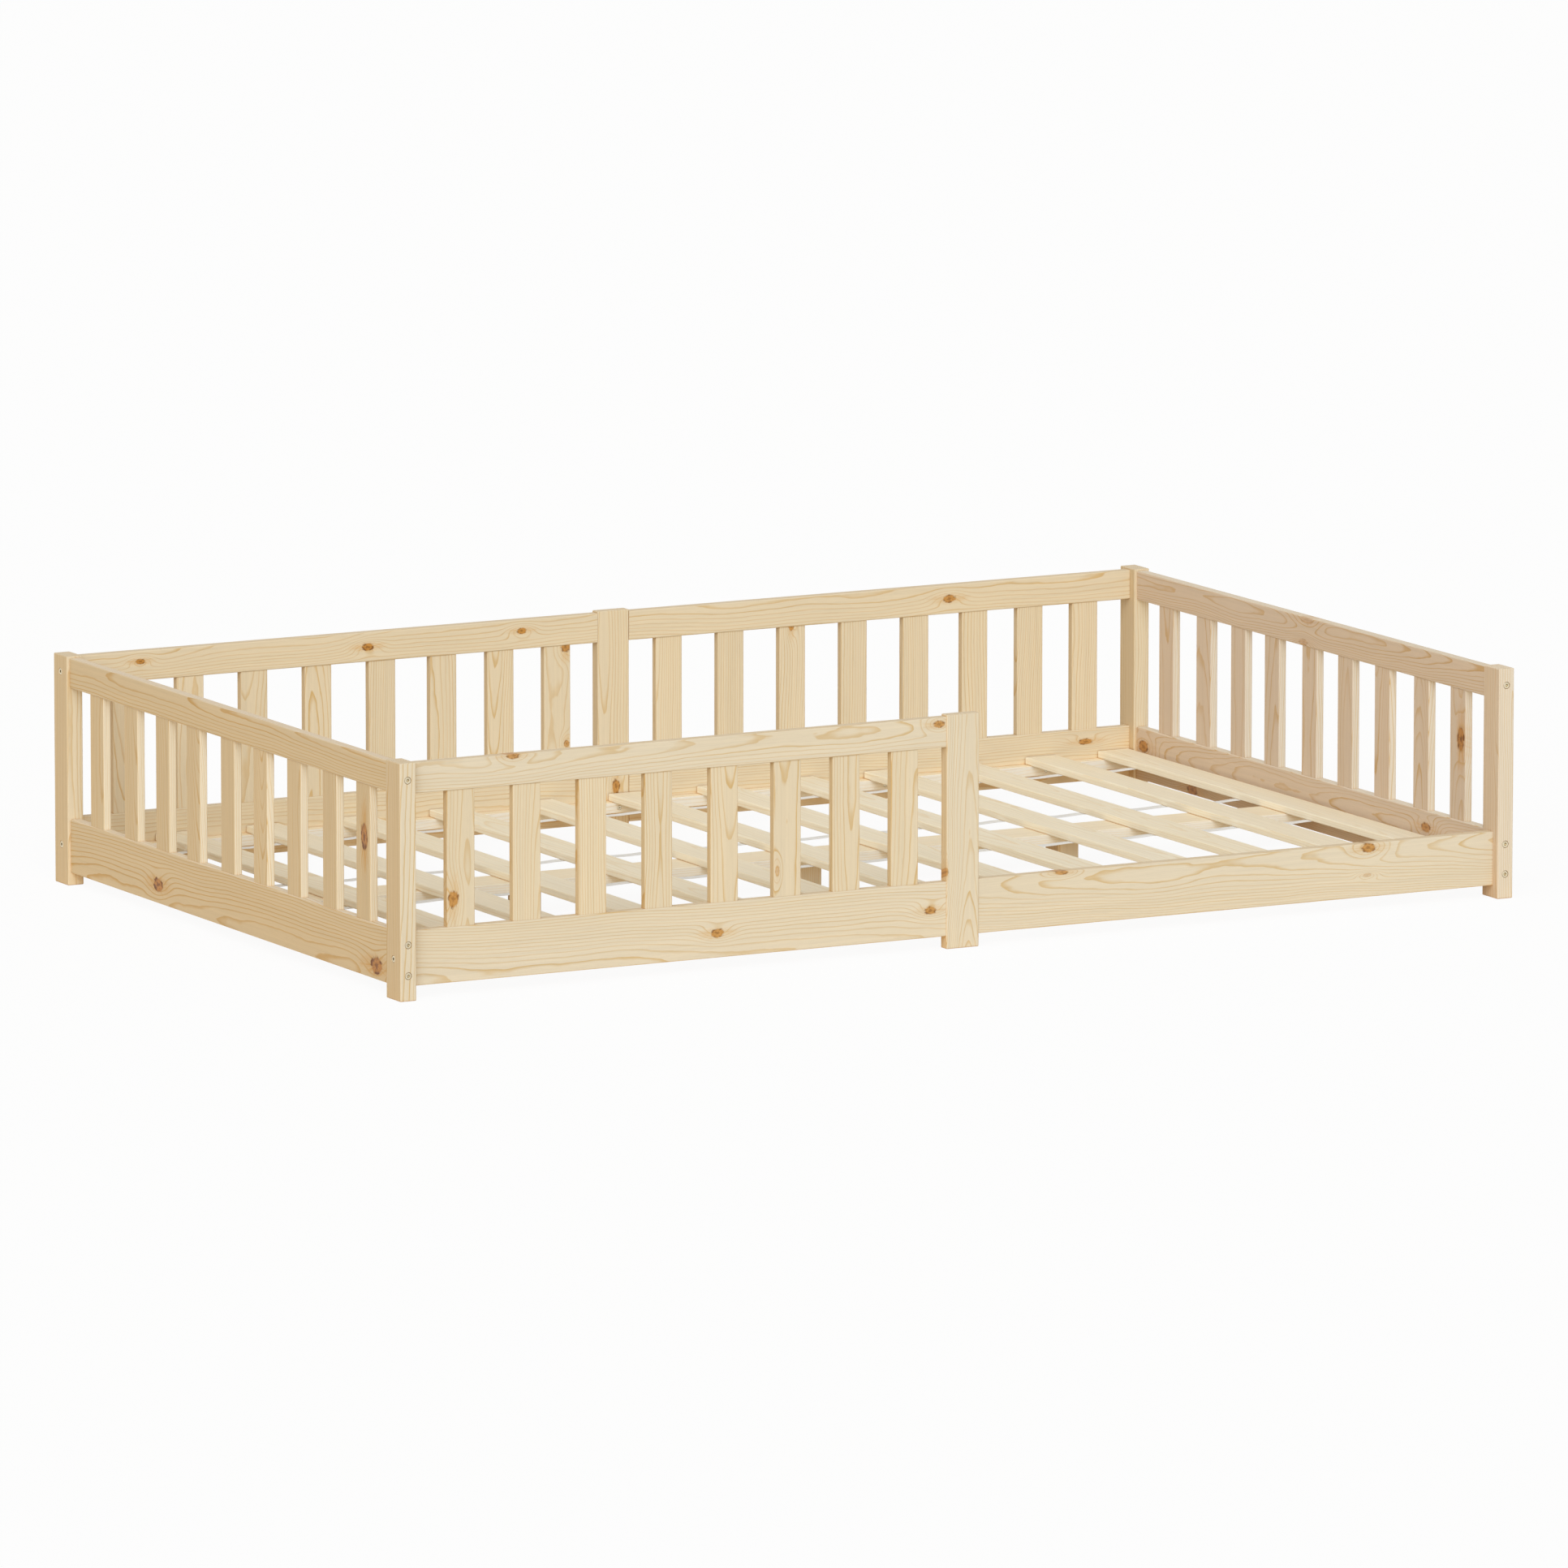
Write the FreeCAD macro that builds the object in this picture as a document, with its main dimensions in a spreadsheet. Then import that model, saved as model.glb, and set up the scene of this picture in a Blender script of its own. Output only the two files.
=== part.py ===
import math
import os

import FreeCAD
import Part
import Sketcher

# A floor bed for a small child, in solid pine. X runs along the bed, -Y is the front with the open
# entry, Z is up. The origin lies on the floor under the middle of the bed. All sizes are in millimetres.

doc = FreeCAD.newDocument("floor_bed")
sheet = doc.addObject("Spreadsheet::Sheet", "sizes")

SIZES = {
    # overall and posts
    "bed_length": 2060, "bed_width": 1276,
    "post_height": 385, "post_across": 29, "post_deep": 50,
    "mid_post_wide": 60, "mid_post_thick": 20,
    # rails and the bars between them
    "rail_thick": 18, "low_rail_base": 21, "low_rail_tall": 90,
    "top_rail_base": 332, "top_rail_tall": 50,
    "bar_wide": 50, "bar_thick": 14, "bar_tenon": 10,
    "edge_round": 2, "end_chamfer": 1,
    # slatted base with its tapes, and what it lies on
    "slat_wide": 60, "slat_thick": 12.5, "slat_end_gap": 2, "slat_round": 2,
    "tape_wide": 18, "tape_thick": 1,
    "ledge_top": 59.5, "ledge_tall": 18, "ledge_deep": 22, "ledge_end_gap": 1,
    "beam_wide": 84, "beam_thick": 18,
    "foot_across": 40, "foot_deep": 44,
    # fittings
    "fit_gap": 0.1,
    "dowel_wide": 8, "dowel_length": 40, "dowel_set": 12, "dowel_spread": 12, "dowel_chamfer": 1,
    "bolt_wide": 7, "bolt_head_wide": 12, "bolt_head_tall": 4.5, "bolt_sunk": 0.5, "bolt_grip": 40,
    "bolt_rim": 0.8, "bolt_socket_wide": 5, "bolt_socket_deep": 2.5, "bolt_spread": 25,
    "screw_wide": 4, "screw_head_wide": 8, "screw_head_tall": 2.2, "screw_bite": 13,
    "screw_rim": 0.5, "screw_socket_wide": 3, "screw_socket_deep": 1.3,
    "foot_screw_bite": 27, "foot_screw_spread": 12,
    # how far the bars right of the rear mid post stand to the left, as a share of the rail's length
    "right_bar_shift": 0.0122,
    # how far the tapes lie from the middle of the slats, as a share of the slat's length
    "inner_tape_place": 0.1, "outer_tape_place": 0.4,
}
# where each bar stands between the ends of its rails, as a share of the rail's length
LONG_BARS = [0.0917, 0.2137, 0.3357, 0.4586, 0.5819, 0.7003, 0.8115, 0.9222]
END_BARS = [0.0816, 0.1837, 0.2934, 0.3980, 0.5000, 0.6080, 0.7058, 0.8070, 0.9167]
# where each slat lies between the end rails, as a share of the space between them
SLATS = [0.0189, 0.0869, 0.1711, 0.2554, 0.3412, 0.4272, 0.5097,
         0.5938, 0.6755, 0.7541, 0.8313, 0.9102, 0.9811]
# where each foot stands under the beam, as a share of the same space
FEET = {"left": 0.2616, "middle": 0.5216, "right": 0.7643}

for number, share in enumerate(LONG_BARS, 1):
    SIZES[f"long_bar_{number}"] = share
for number, share in enumerate(END_BARS, 1):
    SIZES[f"end_bar_{number}"] = share
for number, share in enumerate(SLATS, 1):
    SIZES[f"slat_place_{number}"] = share
for word, share in FEET.items():
    SIZES[f"{word}_foot_place"] = share

for row, (alias, number) in enumerate(SIZES.items(), 1):
    sheet.set(f"A{row}", alias)
    sheet.set(f"B{row}", str(number))
    sheet.setAlias(f"B{row}", alias)
doc.recompute()


def cell(text):
    """Write each size named in the text as a reference to its cell."""
    words = []
    for word in text.split():
        words.append(f"sizes.{word}" if word in SIZES else word)
    return "(" + " ".join(words) + ")"


def value(expression):
    """Work an expression out as a plain number."""
    return float(sheet.evalExpression(expression))


# places that several pieces share
HALF_LENGTH = cell("bed_length / 2")
HALF_WIDTH = cell("bed_width / 2")
POST_X = cell("bed_length / 2 - post_across / 2")
POST_Y = cell("bed_width / 2 - post_deep / 2")
PANEL_LONG = cell("bed_length / 2 - post_across - mid_post_wide / 2")
PANEL_X = cell("bed_length / 4 - post_across / 2 + mid_post_wide / 4")
END_LONG = cell("bed_width - 2 * post_deep")
RAIL_FACE = cell("bed_width / 2 - post_deep / 2 - rail_thick / 2")
END_FACE = cell("bed_length / 2 - post_across / 2 - rail_thick / 2")
SLAT_LONG = f"(2 * {RAIL_FACE} - 2 * sizes.slat_end_gap)"
MID_POST_Y = cell("bed_width / 2 - post_deep / 2 - rail_thick / 2 + mid_post_thick / 2")
LOW_Z = cell("low_rail_base + low_rail_tall / 2")
TOP_Z = cell("top_rail_base + top_rail_tall / 2")
BAR_BASE = cell("low_rail_base + low_rail_tall - bar_tenon")
BAR_LONG = cell("top_rail_base - low_rail_base - low_rail_tall + 2 * bar_tenon")
BEAM_Z = cell("ledge_top - beam_thick / 2")
BEAM_DOWELS = [cell("0 - beam_wide / 4"), cell("beam_wide / 4")]
FOOT_TALL = cell("ledge_top - beam_thick")
HOLE = cell("bolt_wide + 2 * fit_gap")
SINK = cell("bolt_head_wide + 2 * fit_gap")
SINK_DEEP = cell("bolt_head_tall + bolt_sunk")
DOWEL_HOLE = cell("dowel_wide + 2 * fit_gap")
SCREW_HOLE = cell("screw_wide + 2 * fit_gap")
SCREW_SINK = cell("screw_head_wide + 2 * fit_gap")


def slat_x(number):
    """Middle of a slat along the bed."""
    return f"((sizes.slat_place_{number} - 0.5) * 2 * {END_FACE})"


def foot_x(word):
    """Middle of a foot along the bed."""
    return f"((sizes.{word}_foot_place - 0.5) * 2 * {END_FACE})"


def bar_places(kind, count, length, shift="0"):
    """Middles of a panel's bars along its rails, counted from the middle of the rails."""
    return [f"((sizes.{kind}_bar_{number} - 0.5 - {shift}) * {length})" for number in range(1, count + 1)]


LEFT_BARS = bar_places("long", len(LONG_BARS), PANEL_LONG)
RIGHT_BARS = bar_places("long", len(LONG_BARS), PANEL_LONG, "sizes.right_bar_shift")
SIDE_BARS = bar_places("end", len(END_BARS), END_LONG)
# the screws of the ledges and of the feet lie under slats
LEDGE_SCREW_X = [slat_x(2), slat_x(4), "0", slat_x(10), slat_x(12)]

pieces = []


def new_body(name):
    body = doc.addObject("PartDesign::Body", name)
    body.Label = name
    body.AllowCompound = True
    pieces.append(body)
    return body


def place(body, x, y, z):
    """Bind the place of a body to the sheet."""
    for axis, expression in zip("xyz", (x, y, z)):
        body.setExpression(f"Placement.Base.{axis}", expression)


def new_sketch(body, name, role, offset):
    """Sketch on one of the body's own origin planes, moved along the plane's normal."""
    sketch = body.newObject("Sketcher::SketchObject", name)
    plane = [item for item in body.Origin.OriginFeatures if item.Role == role][0]
    sketch.AttachmentSupport = (plane, "")
    sketch.MapMode = "FlatFace"
    sketch.setExpression("AttachmentOffset.Base.z", offset)
    return sketch


def bind(sketch, kind, first, second, expression):
    """Signed distance between two points of a sketch, bound to an expression."""
    number = sketch.addConstraint(Sketcher.Constraint(kind, *first, *second, value(expression)))
    sketch.setExpression(f"Constraints[{number}]", expression)


def draw_box(sketch, mid_x, mid_y, wide, tall):
    """Rectangle by its middle and its two sizes."""
    low_x = f"({mid_x} - {wide} / 2)"
    low_y = f"({mid_y} - {tall} / 2)"
    x0, y0 = value(low_x), value(low_y)
    x1, y1 = x0 + value(wide), y0 + value(tall)
    corners = [FreeCAD.Vector(x, y, 0) for x, y in ((x0, y0), (x1, y0), (x1, y1), (x0, y1))]
    lines = [sketch.addGeometry(Part.LineSegment(corners[k - 1], corners[k]), False) for k in (1, 2, 3, 0)]
    for k in range(4):
        sketch.addConstraint(Sketcher.Constraint("Coincident", lines[k], 2, lines[(k + 1) % 4], 1))
        sketch.addConstraint(Sketcher.Constraint("Vertical" if k % 2 else "Horizontal", lines[k]))
    bind(sketch, "DistanceX", (lines[0], 1), (lines[0], 2), wide)
    bind(sketch, "DistanceY", (lines[1], 1), (lines[1], 2), tall)
    bind(sketch, "DistanceX", (-1, 1), (lines[0], 1), low_x)
    bind(sketch, "DistanceY", (-1, 1), (lines[0], 1), low_y)


def draw_circle(sketch, mid_x, mid_y, wide):
    """Circle by its middle and its width."""
    middle = FreeCAD.Vector(value(mid_x), value(mid_y), 0)
    circle = sketch.addGeometry(Part.Circle(middle, FreeCAD.Vector(0, 0, 1), value(wide) / 2), False)
    number = sketch.addConstraint(Sketcher.Constraint("Diameter", circle, value(wide)))
    sketch.setExpression(f"Constraints[{number}]", wide)
    bind(sketch, "DistanceX", (-1, 1), (circle, 3), mid_x)
    bind(sketch, "DistanceY", (-1, 1), (circle, 3), mid_y)


def draw_hexagon(sketch, mid_x, mid_y, wide):
    """Hexagon by its middle and the width across its flats, held in a circle for construction."""
    middle = FreeCAD.Vector(value(mid_x), value(mid_y), 0)
    across = f"({wide} / cos(30))"
    radius = value(across) / 2
    turns = [math.radians(60 * k) for k in range(6)]
    corners = [middle + FreeCAD.Vector(radius * math.cos(turn), radius * math.sin(turn), 0) for turn in turns]
    lines = [sketch.addGeometry(Part.LineSegment(corners[k - 1], corners[k]), False) for k in range(6)]
    circle = sketch.addGeometry(Part.Circle(middle, FreeCAD.Vector(0, 0, 1), radius), True)
    for k in range(6):
        sketch.addConstraint(Sketcher.Constraint("Coincident", lines[k - 1], 2, lines[k], 1))
        sketch.addConstraint(Sketcher.Constraint("PointOnObject", lines[k], 1, circle))
    for k in range(1, 6):
        sketch.addConstraint(Sketcher.Constraint("Equal", lines[0], lines[k]))
    sketch.addConstraint(Sketcher.Constraint("Horizontal", lines[2]))
    number = sketch.addConstraint(Sketcher.Constraint("Diameter", circle, 2 * radius))
    sketch.setExpression(f"Constraints[{number}]", across)
    bind(sketch, "DistanceX", (-1, 1), (circle, 3), mid_x)
    bind(sketch, "DistanceY", (-1, 1), (circle, 3), mid_y)


def add_pad(body, name, sketch, length, symmetric=False, backwards=False):
    pad = body.newObject("PartDesign::Pad", name)
    pad.Profile = sketch
    pad.SideType = "Symmetric" if symmetric else "One side"
    pad.Reversed = backwards
    pad.setExpression("Length", length)
    doc.recompute()
    return pad


def add_pocket(body, name, sketch, depth, backwards=False):
    """Cut to a depth, and make sure that it takes wood away."""
    before = body.Shape.Volume
    pocket = body.newObject("PartDesign::Pocket", name)
    pocket.Profile = sketch
    pocket.Reversed = backwards
    pocket.setExpression("Length", depth)
    doc.recompute()
    if body.Shape.Volume >= before:
        raise RuntimeError(f"{body.Label}: {name} cuts nothing")
    return pocket


def edges_where(feature, wanted):
    """Names of the edges of a feature that a test accepts."""
    return [f"Edge{k}" for k, edge in enumerate(feature.Shape.Edges, 1) if wanted(edge)]


def runs_along(edge, axis):
    """True for a straight edge along an axis."""
    if edge.Curve.TypeId != "Part::GeomLine":
        return False
    return abs(edge.tangentAt(edge.FirstParameter)[axis]) > 0.999


def soften(body, kind, name, base, edges, size_name, size):
    """Round or chamfer the named edges of a feature."""
    feature = body.newObject(f"PartDesign::{kind}", name)
    feature.Base = (base, edges)
    feature.setExpression(size_name, size)
    doc.recompute()
    return feature


ACROSS = {"YZ_Plane": 0, "XZ_Plane": 1, "XY_Plane": 2}


def plank(name, role, wide, tall, long, edge_size=cell("edge_round")):
    """Straight board about its own middle, drawn in section and rounded along its four long edges."""
    body = new_body(name)
    sketch = new_sketch(body, f"{name}_section", role, "0")
    draw_box(sketch, "0", "0", wide, tall)
    pad = add_pad(body, f"{name}_board", sketch, long, symmetric=True)
    edges = edges_where(pad, lambda edge: runs_along(edge, ACROSS[role]))
    soften(body, "Fillet", f"{name}_edges", pad, edges, "Radius", edge_size)
    return body


def bore(body, name, role, offset, spots, depth, backwards=False):
    """Round holes, each given by its middle and its width, cut from a plane into the wood."""
    sketch = new_sketch(body, f"{name}_circles", role, offset)
    for mid_x, mid_y, wide in spots:
        draw_circle(sketch, mid_x, mid_y, wide)
    return add_pocket(body, name, sketch, depth, backwards)


def mortise(body, name, face, places, depth, backwards, sideways=False):
    """A row of square-cornered mortises for the ends of the bars."""
    sketch = new_sketch(body, f"{name}_row", "XY_Plane", face)
    long_side = cell("bar_wide + 2 * fit_gap")
    short_side = cell("bar_thick + 2 * fit_gap")
    for spot in places:
        if sideways:
            draw_box(sketch, "0", spot, short_side, long_side)
        else:
            draw_box(sketch, spot, "0", long_side, short_side)
    return add_pocket(body, name, sketch, depth, backwards)


def ease_ends(body, half):
    """Chamfer round both ends of an upright board."""
    ends = edges_where(body.Tip, lambda edge: abs(abs(edge.CenterOfMass.z) - value(half)) < 1e-6)
    soften(body, "Chamfer", f"{body.Label}_ends", body.Tip, ends, "Size", cell("end_chamfer"))


# ---- posts ---------------------------------------------------------------------------------------

# heights of the fittings above the floor
LOW_BOLTS = [f"({LOW_Z} - sizes.bolt_spread)", f"({LOW_Z} + sizes.bolt_spread)"]
LOW_DOWELS = [f"({LOW_Z} - sizes.dowel_spread)", f"({LOW_Z} + sizes.dowel_spread)"]
TOP_DOWELS = [f"({TOP_Z} - sizes.dowel_spread)", f"({TOP_Z} + sizes.dowel_spread)"]


def post(name, side, front, bolts_along_y, bolts_along_x, dowels_x, dowels_y):
    """Corner post standing on the floor: side is -1 at the left and 1 at the right, front is True at -Y.
    Bolts come in from the two outer faces, dowels stand in the two inner faces."""
    body = plank(name, "XY_Plane", cell("post_across"), cell("post_deep"), cell("post_height"))
    middle = cell("post_height / 2")
    ease_ends(body, middle)
    # the plane's own normal points to -Y, so its +z side is the front
    outer_y = cell("post_deep / 2") if front else cell("0 - post_deep / 2")
    inner_y = cell("0 - post_deep / 2") if front else cell("post_deep / 2")
    spots = [("0", f"({z} - {middle})") for z in bolts_along_y]
    bore(body, f"{name}_sinks_y", "XZ_Plane", outer_y, [(x, z, SINK) for x, z in spots], SINK_DEEP, not front)
    bore(body, f"{name}_holes_y", "XZ_Plane", outer_y, [(x, z, HOLE) for x, z in spots],
         cell("post_deep"), not front)
    outer_x = cell("post_across / 2") if side > 0 else cell("0 - post_across / 2")
    inner_x = cell("0 - post_across / 2") if side > 0 else cell("post_across / 2")
    spots = [("0", f"({z} - {middle})") for z in bolts_along_x]
    bore(body, f"{name}_sinks_x", "YZ_Plane", outer_x, [(y, z, SINK) for y, z in spots], SINK_DEEP, side < 0)
    bore(body, f"{name}_holes_x", "YZ_Plane", outer_x, [(y, z, HOLE) for y, z in spots],
         cell("post_across"), side < 0)
    if dowels_x:
        spots = [("0", f"({z} - {middle})", DOWEL_HOLE) for z in dowels_x]
        bore(body, f"{name}_dowels_x", "YZ_Plane", inner_x, spots, cell("dowel_set"), side > 0)
    if dowels_y:
        spots = [("0", f"({z} - {middle})", DOWEL_HOLE) for z in dowels_y]
        bore(body, f"{name}_dowels_y", "XZ_Plane", inner_y, spots, cell("dowel_set"), front)
    x = POST_X if side > 0 else f"(0 - {POST_X})"
    y = f"(0 - {POST_Y})" if front else POST_Y
    place(body, x, y, middle)
    return body


# a post has one bolt at the top, along Y in front and along X at the back, and dowels the other way
FRONT_BOLTS = LOW_BOLTS + [TOP_Z]
post("front_left_post", -1, True, FRONT_BOLTS, [LOW_Z], LOW_DOWELS + TOP_DOWELS, [])
post("front_right_post", 1, True, FRONT_BOLTS, [LOW_Z], LOW_DOWELS, [])
post("rear_left_post", -1, False, LOW_BOLTS, [LOW_Z, TOP_Z], LOW_DOWELS, TOP_DOWELS)
post("rear_right_post", 1, False, LOW_BOLTS, [LOW_Z, TOP_Z], LOW_DOWELS, TOP_DOWELS)


def mid_post(name, front, dowels_left, dowels_right):
    """Flat post between two panels, flush with the inner faces of the rails."""
    body = plank(name, "XY_Plane", cell("mid_post_wide"), cell("mid_post_thick"), cell("post_height"))
    middle = cell("post_height / 2")
    ease_ends(body, middle)
    rail_y = cell("mid_post_thick / 2 - rail_thick / 2")
    rail_y = rail_y if front else f"(0 - {rail_y})"
    for word, face, heights, backwards in (("left", cell("0 - mid_post_wide / 2"), dowels_left, True),
                                           ("right", cell("mid_post_wide / 2"), dowels_right, False)):
        spots = [(rail_y, f"({z} - {middle})", DOWEL_HOLE) for z in heights]
        bore(body, f"{name}_dowels_{word}", "YZ_Plane", face, spots, cell("dowel_set"), backwards)
    # holes for the screw that ties the ledge to the post
    inner_y = cell("0 - mid_post_thick / 2") if front else cell("mid_post_thick / 2")
    ledge_z = f"(sizes.ledge_top - sizes.ledge_tall / 2 - {middle})"
    bore(body, f"{name}_screw", "XZ_Plane", inner_y, [("0", ledge_z, SCREW_HOLE)],
         cell("screw_bite + fit_gap"), front)
    place(body, "0", f"(0 - {MID_POST_Y})" if front else MID_POST_Y, middle)
    return body


mid_post("front_mid_post", True, LOW_DOWELS + TOP_DOWELS, LOW_DOWELS)
mid_post("rear_mid_post", False, LOW_DOWELS + TOP_DOWELS, LOW_DOWELS + TOP_DOWELS)

# ---- rails ---------------------------------------------------------------------------------------

DOWEL_REACH = cell("dowel_length - dowel_set + fit_gap")
BOLT_REACH = cell("bolt_grip + fit_gap")


def long_rail(name, side, front, low, bars, bolted, dowelled):
    """Rail along X between a corner post and a mid post. Its end at the corner post takes a bolt or
    dowels or both, its end at the mid post takes dowels, and its bars stand in mortises."""
    tall = cell("low_rail_tall") if low else cell("top_rail_tall")
    body = plank(name, "YZ_Plane", cell("rail_thick"), tall, PANEL_LONG)
    outer = f"({PANEL_LONG} / 2)" if side > 0 else f"(0 - {PANEL_LONG} / 2)"
    inner = f"(0 - {PANEL_LONG} / 2)" if side > 0 else f"({PANEL_LONG} / 2)"
    pair = [("0", cell("0 - dowel_spread"), DOWEL_HOLE), ("0", cell("dowel_spread"), DOWEL_HOLE)]
    if bolted:
        bore(body, f"{name}_bolt", "YZ_Plane", outer, [("0", "0", HOLE)], BOLT_REACH, side < 0)
    if dowelled:
        bore(body, f"{name}_dowels_outer", "YZ_Plane", outer, pair, DOWEL_REACH, side < 0)
    bore(body, f"{name}_dowels_inner", "YZ_Plane", inner, pair, DOWEL_REACH, side > 0)
    if bars and low:
        mortise(body, f"{name}_mortises", cell("low_rail_tall / 2"), bars, cell("bar_tenon"), False)
    if bars and not low:
        mortise(body, f"{name}_mortises", cell("0 - top_rail_tall / 2"), bars,
                cell("bar_tenon + fit_gap"), True)
    if low:
        screw_rows(body, name, side, front)
    x = PANEL_X if side > 0 else f"(0 - {PANEL_X})"
    y = f"(0 - {POST_Y})" if front else POST_Y
    place(body, x, y, LOW_Z if low else TOP_Z)
    return body


def screw_rows(body, name, side, front):
    """Holes in a low rail for the two screws that hold its half of the ledge."""
    centre = PANEL_X if side > 0 else f"(0 - {PANEL_X})"
    inner_y = cell("0 - rail_thick / 2") if front else cell("rail_thick / 2")
    height = f"(sizes.ledge_top - sizes.ledge_tall / 2 - {LOW_Z})"
    places = LEDGE_SCREW_X[3:] if side > 0 else LEDGE_SCREW_X[:2]
    spots = [(f"({x} - {centre})", height, SCREW_HOLE) for x in places]
    bore(body, f"{name}_screws", "XZ_Plane", inner_y, spots, cell("screw_bite + fit_gap"), front)


long_rail("front_top_rail", -1, True, False, LEFT_BARS, False, True)
long_rail("front_left_bottom_rail", -1, True, True, LEFT_BARS, True, True)
long_rail("front_right_bottom_rail", 1, True, True, [], True, True)
long_rail("rear_left_top_rail", -1, False, False, LEFT_BARS, True, False)
long_rail("rear_right_top_rail", 1, False, False, RIGHT_BARS, True, False)
long_rail("rear_left_bottom_rail", -1, False, True, LEFT_BARS, True, True)
long_rail("rear_right_bottom_rail", 1, False, True, RIGHT_BARS, True, True)


def end_rail(name, side, low):
    """Rail along Y between two corner posts, with mortises for the bars of the end."""
    tall = cell("low_rail_tall") if low else cell("top_rail_tall")
    body = plank(name, "XZ_Plane", cell("rail_thick"), tall, END_LONG)
    front_face = f"({END_LONG} / 2)"
    rear_face = f"(0 - {END_LONG} / 2)"
    if low:
        spots = [("0", cell("0 - bolt_spread"), HOLE), ("0", cell("bolt_spread"), HOLE)]
        bore(body, f"{name}_bolts_front", "XZ_Plane", front_face, spots, BOLT_REACH)
        bore(body, f"{name}_bolts_rear", "XZ_Plane", rear_face, spots, BOLT_REACH, True)
        mortise(body, f"{name}_mortises", cell("low_rail_tall / 2"), SIDE_BARS,
                cell("bar_tenon"), False, True)
        inner_x = cell("0 - rail_thick / 2") if side > 0 else cell("rail_thick / 2")
        spots = [(y, f"({BEAM_Z} - {LOW_Z})", DOWEL_HOLE) for y in BEAM_DOWELS]
        bore(body, f"{name}_dowels", "YZ_Plane", inner_x, spots, cell("dowel_set"), side > 0)
    else:
        spots = [("0", "0", HOLE)]
        bore(body, f"{name}_bolt", "XZ_Plane", front_face, spots, BOLT_REACH)
        pair = [("0", cell("0 - dowel_spread"), DOWEL_HOLE), ("0", cell("dowel_spread"), DOWEL_HOLE)]
        bore(body, f"{name}_dowels", "XZ_Plane", rear_face, pair, DOWEL_REACH, True)
        mortise(body, f"{name}_mortises", cell("0 - top_rail_tall / 2"), SIDE_BARS,
                cell("bar_tenon + fit_gap"), True, True)
    x = POST_X if side > 0 else f"(0 - {POST_X})"
    place(body, x, "0", LOW_Z if low else TOP_Z)
    return body


for word, side in (("left", -1), ("right", 1)):
    end_rail(f"{word}_top_rail", side, False)
    end_rail(f"{word}_bottom_rail", side, True)

# ---- bars ----------------------------------------------------------------------------------------


def bar_row(name, places, x, y, sideways=False):
    """The upright bars of one panel, flat boards that stand in the mortises of both rails."""
    body = new_body(name)
    sketch = new_sketch(body, f"{name}_sections", "XY_Plane", "0")
    for spot in places:
        if sideways:
            draw_box(sketch, "0", spot, cell("bar_thick"), cell("bar_wide"))
        else:
            draw_box(sketch, spot, "0", cell("bar_wide"), cell("bar_thick"))
    pad = add_pad(body, f"{name}_boards", sketch, BAR_LONG)
    edges = edges_where(pad, lambda edge: runs_along(edge, 2))
    soften(body, "Fillet", f"{name}_edges", pad, edges, "Radius", cell("edge_round"))
    place(body, x, y, BAR_BASE)
    return body


bar_row("front_bars", LEFT_BARS, f"(0 - {PANEL_X})", f"(0 - {POST_Y})")
bar_row("rear_left_bars", LEFT_BARS, f"(0 - {PANEL_X})", POST_Y)
bar_row("rear_right_bars", RIGHT_BARS, PANEL_X, POST_Y)
bar_row("left_bars", SIDE_BARS, f"(0 - {POST_X})", "0", True)
bar_row("right_bars", SIDE_BARS, POST_X, "0", True)

# ---- what carries the slatted base -------------------------------------------------------------------


def ledge(name, front):
    """Strip along the inner face of the low rails, with countersunk screws under the slats."""
    long = cell("bed_length - 2 * post_across - 2 * ledge_end_gap")
    body = plank(name, "YZ_Plane", cell("ledge_deep"), cell("ledge_tall"), long, cell("edge_round / 2"))
    # the open face looks into the bed
    open_y = cell("0 - ledge_deep / 2") if front else cell("ledge_deep / 2")
    sinks = [(x, "0", SCREW_SINK) for x in LEDGE_SCREW_X]
    holes = [(x, "0", SCREW_HOLE) for x in LEDGE_SCREW_X]
    bore(body, f"{name}_sinks", "XZ_Plane", open_y, sinks, cell("screw_head_tall + fit_gap"), front)
    bore(body, f"{name}_holes", "XZ_Plane", open_y, holes, cell("ledge_deep"), front)
    y = f"({RAIL_FACE} - sizes.ledge_deep / 2)"
    place(body, "0", f"(0 - {y})" if front else y, cell("ledge_top - ledge_tall / 2"))
    return body


ledge("front_ledge", True)
ledge("rear_ledge", False)

beam = plank("centre_beam", "YZ_Plane", cell("beam_wide"), cell("beam_thick"), f"(2 * {END_FACE})",
             cell("edge_round / 2"))
beam_pair = [(y, "0", DOWEL_HOLE) for y in BEAM_DOWELS]
bore(beam, "beam_dowels_left", "YZ_Plane", f"(0 - {END_FACE})", beam_pair, DOWEL_REACH, True)
bore(beam, "beam_dowels_right", "YZ_Plane", END_FACE, beam_pair, DOWEL_REACH)
FOOT_PAIR = [cell("0 - foot_screw_spread"), cell("foot_screw_spread")]
FOOT_SCREWS = [(foot_x(word), y) for word in FEET for y in FOOT_PAIR]
sinks = [(x, y, SCREW_SINK) for x, y in FOOT_SCREWS]
holes = [(x, y, SCREW_HOLE) for x, y in FOOT_SCREWS]
bore(beam, "beam_sinks", "XY_Plane", cell("beam_thick / 2"), sinks, cell("screw_head_tall + fit_gap"))
bore(beam, "beam_holes", "XY_Plane", cell("beam_thick / 2"), holes, cell("beam_thick"))
place(beam, "0", "0", BEAM_Z)

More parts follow.
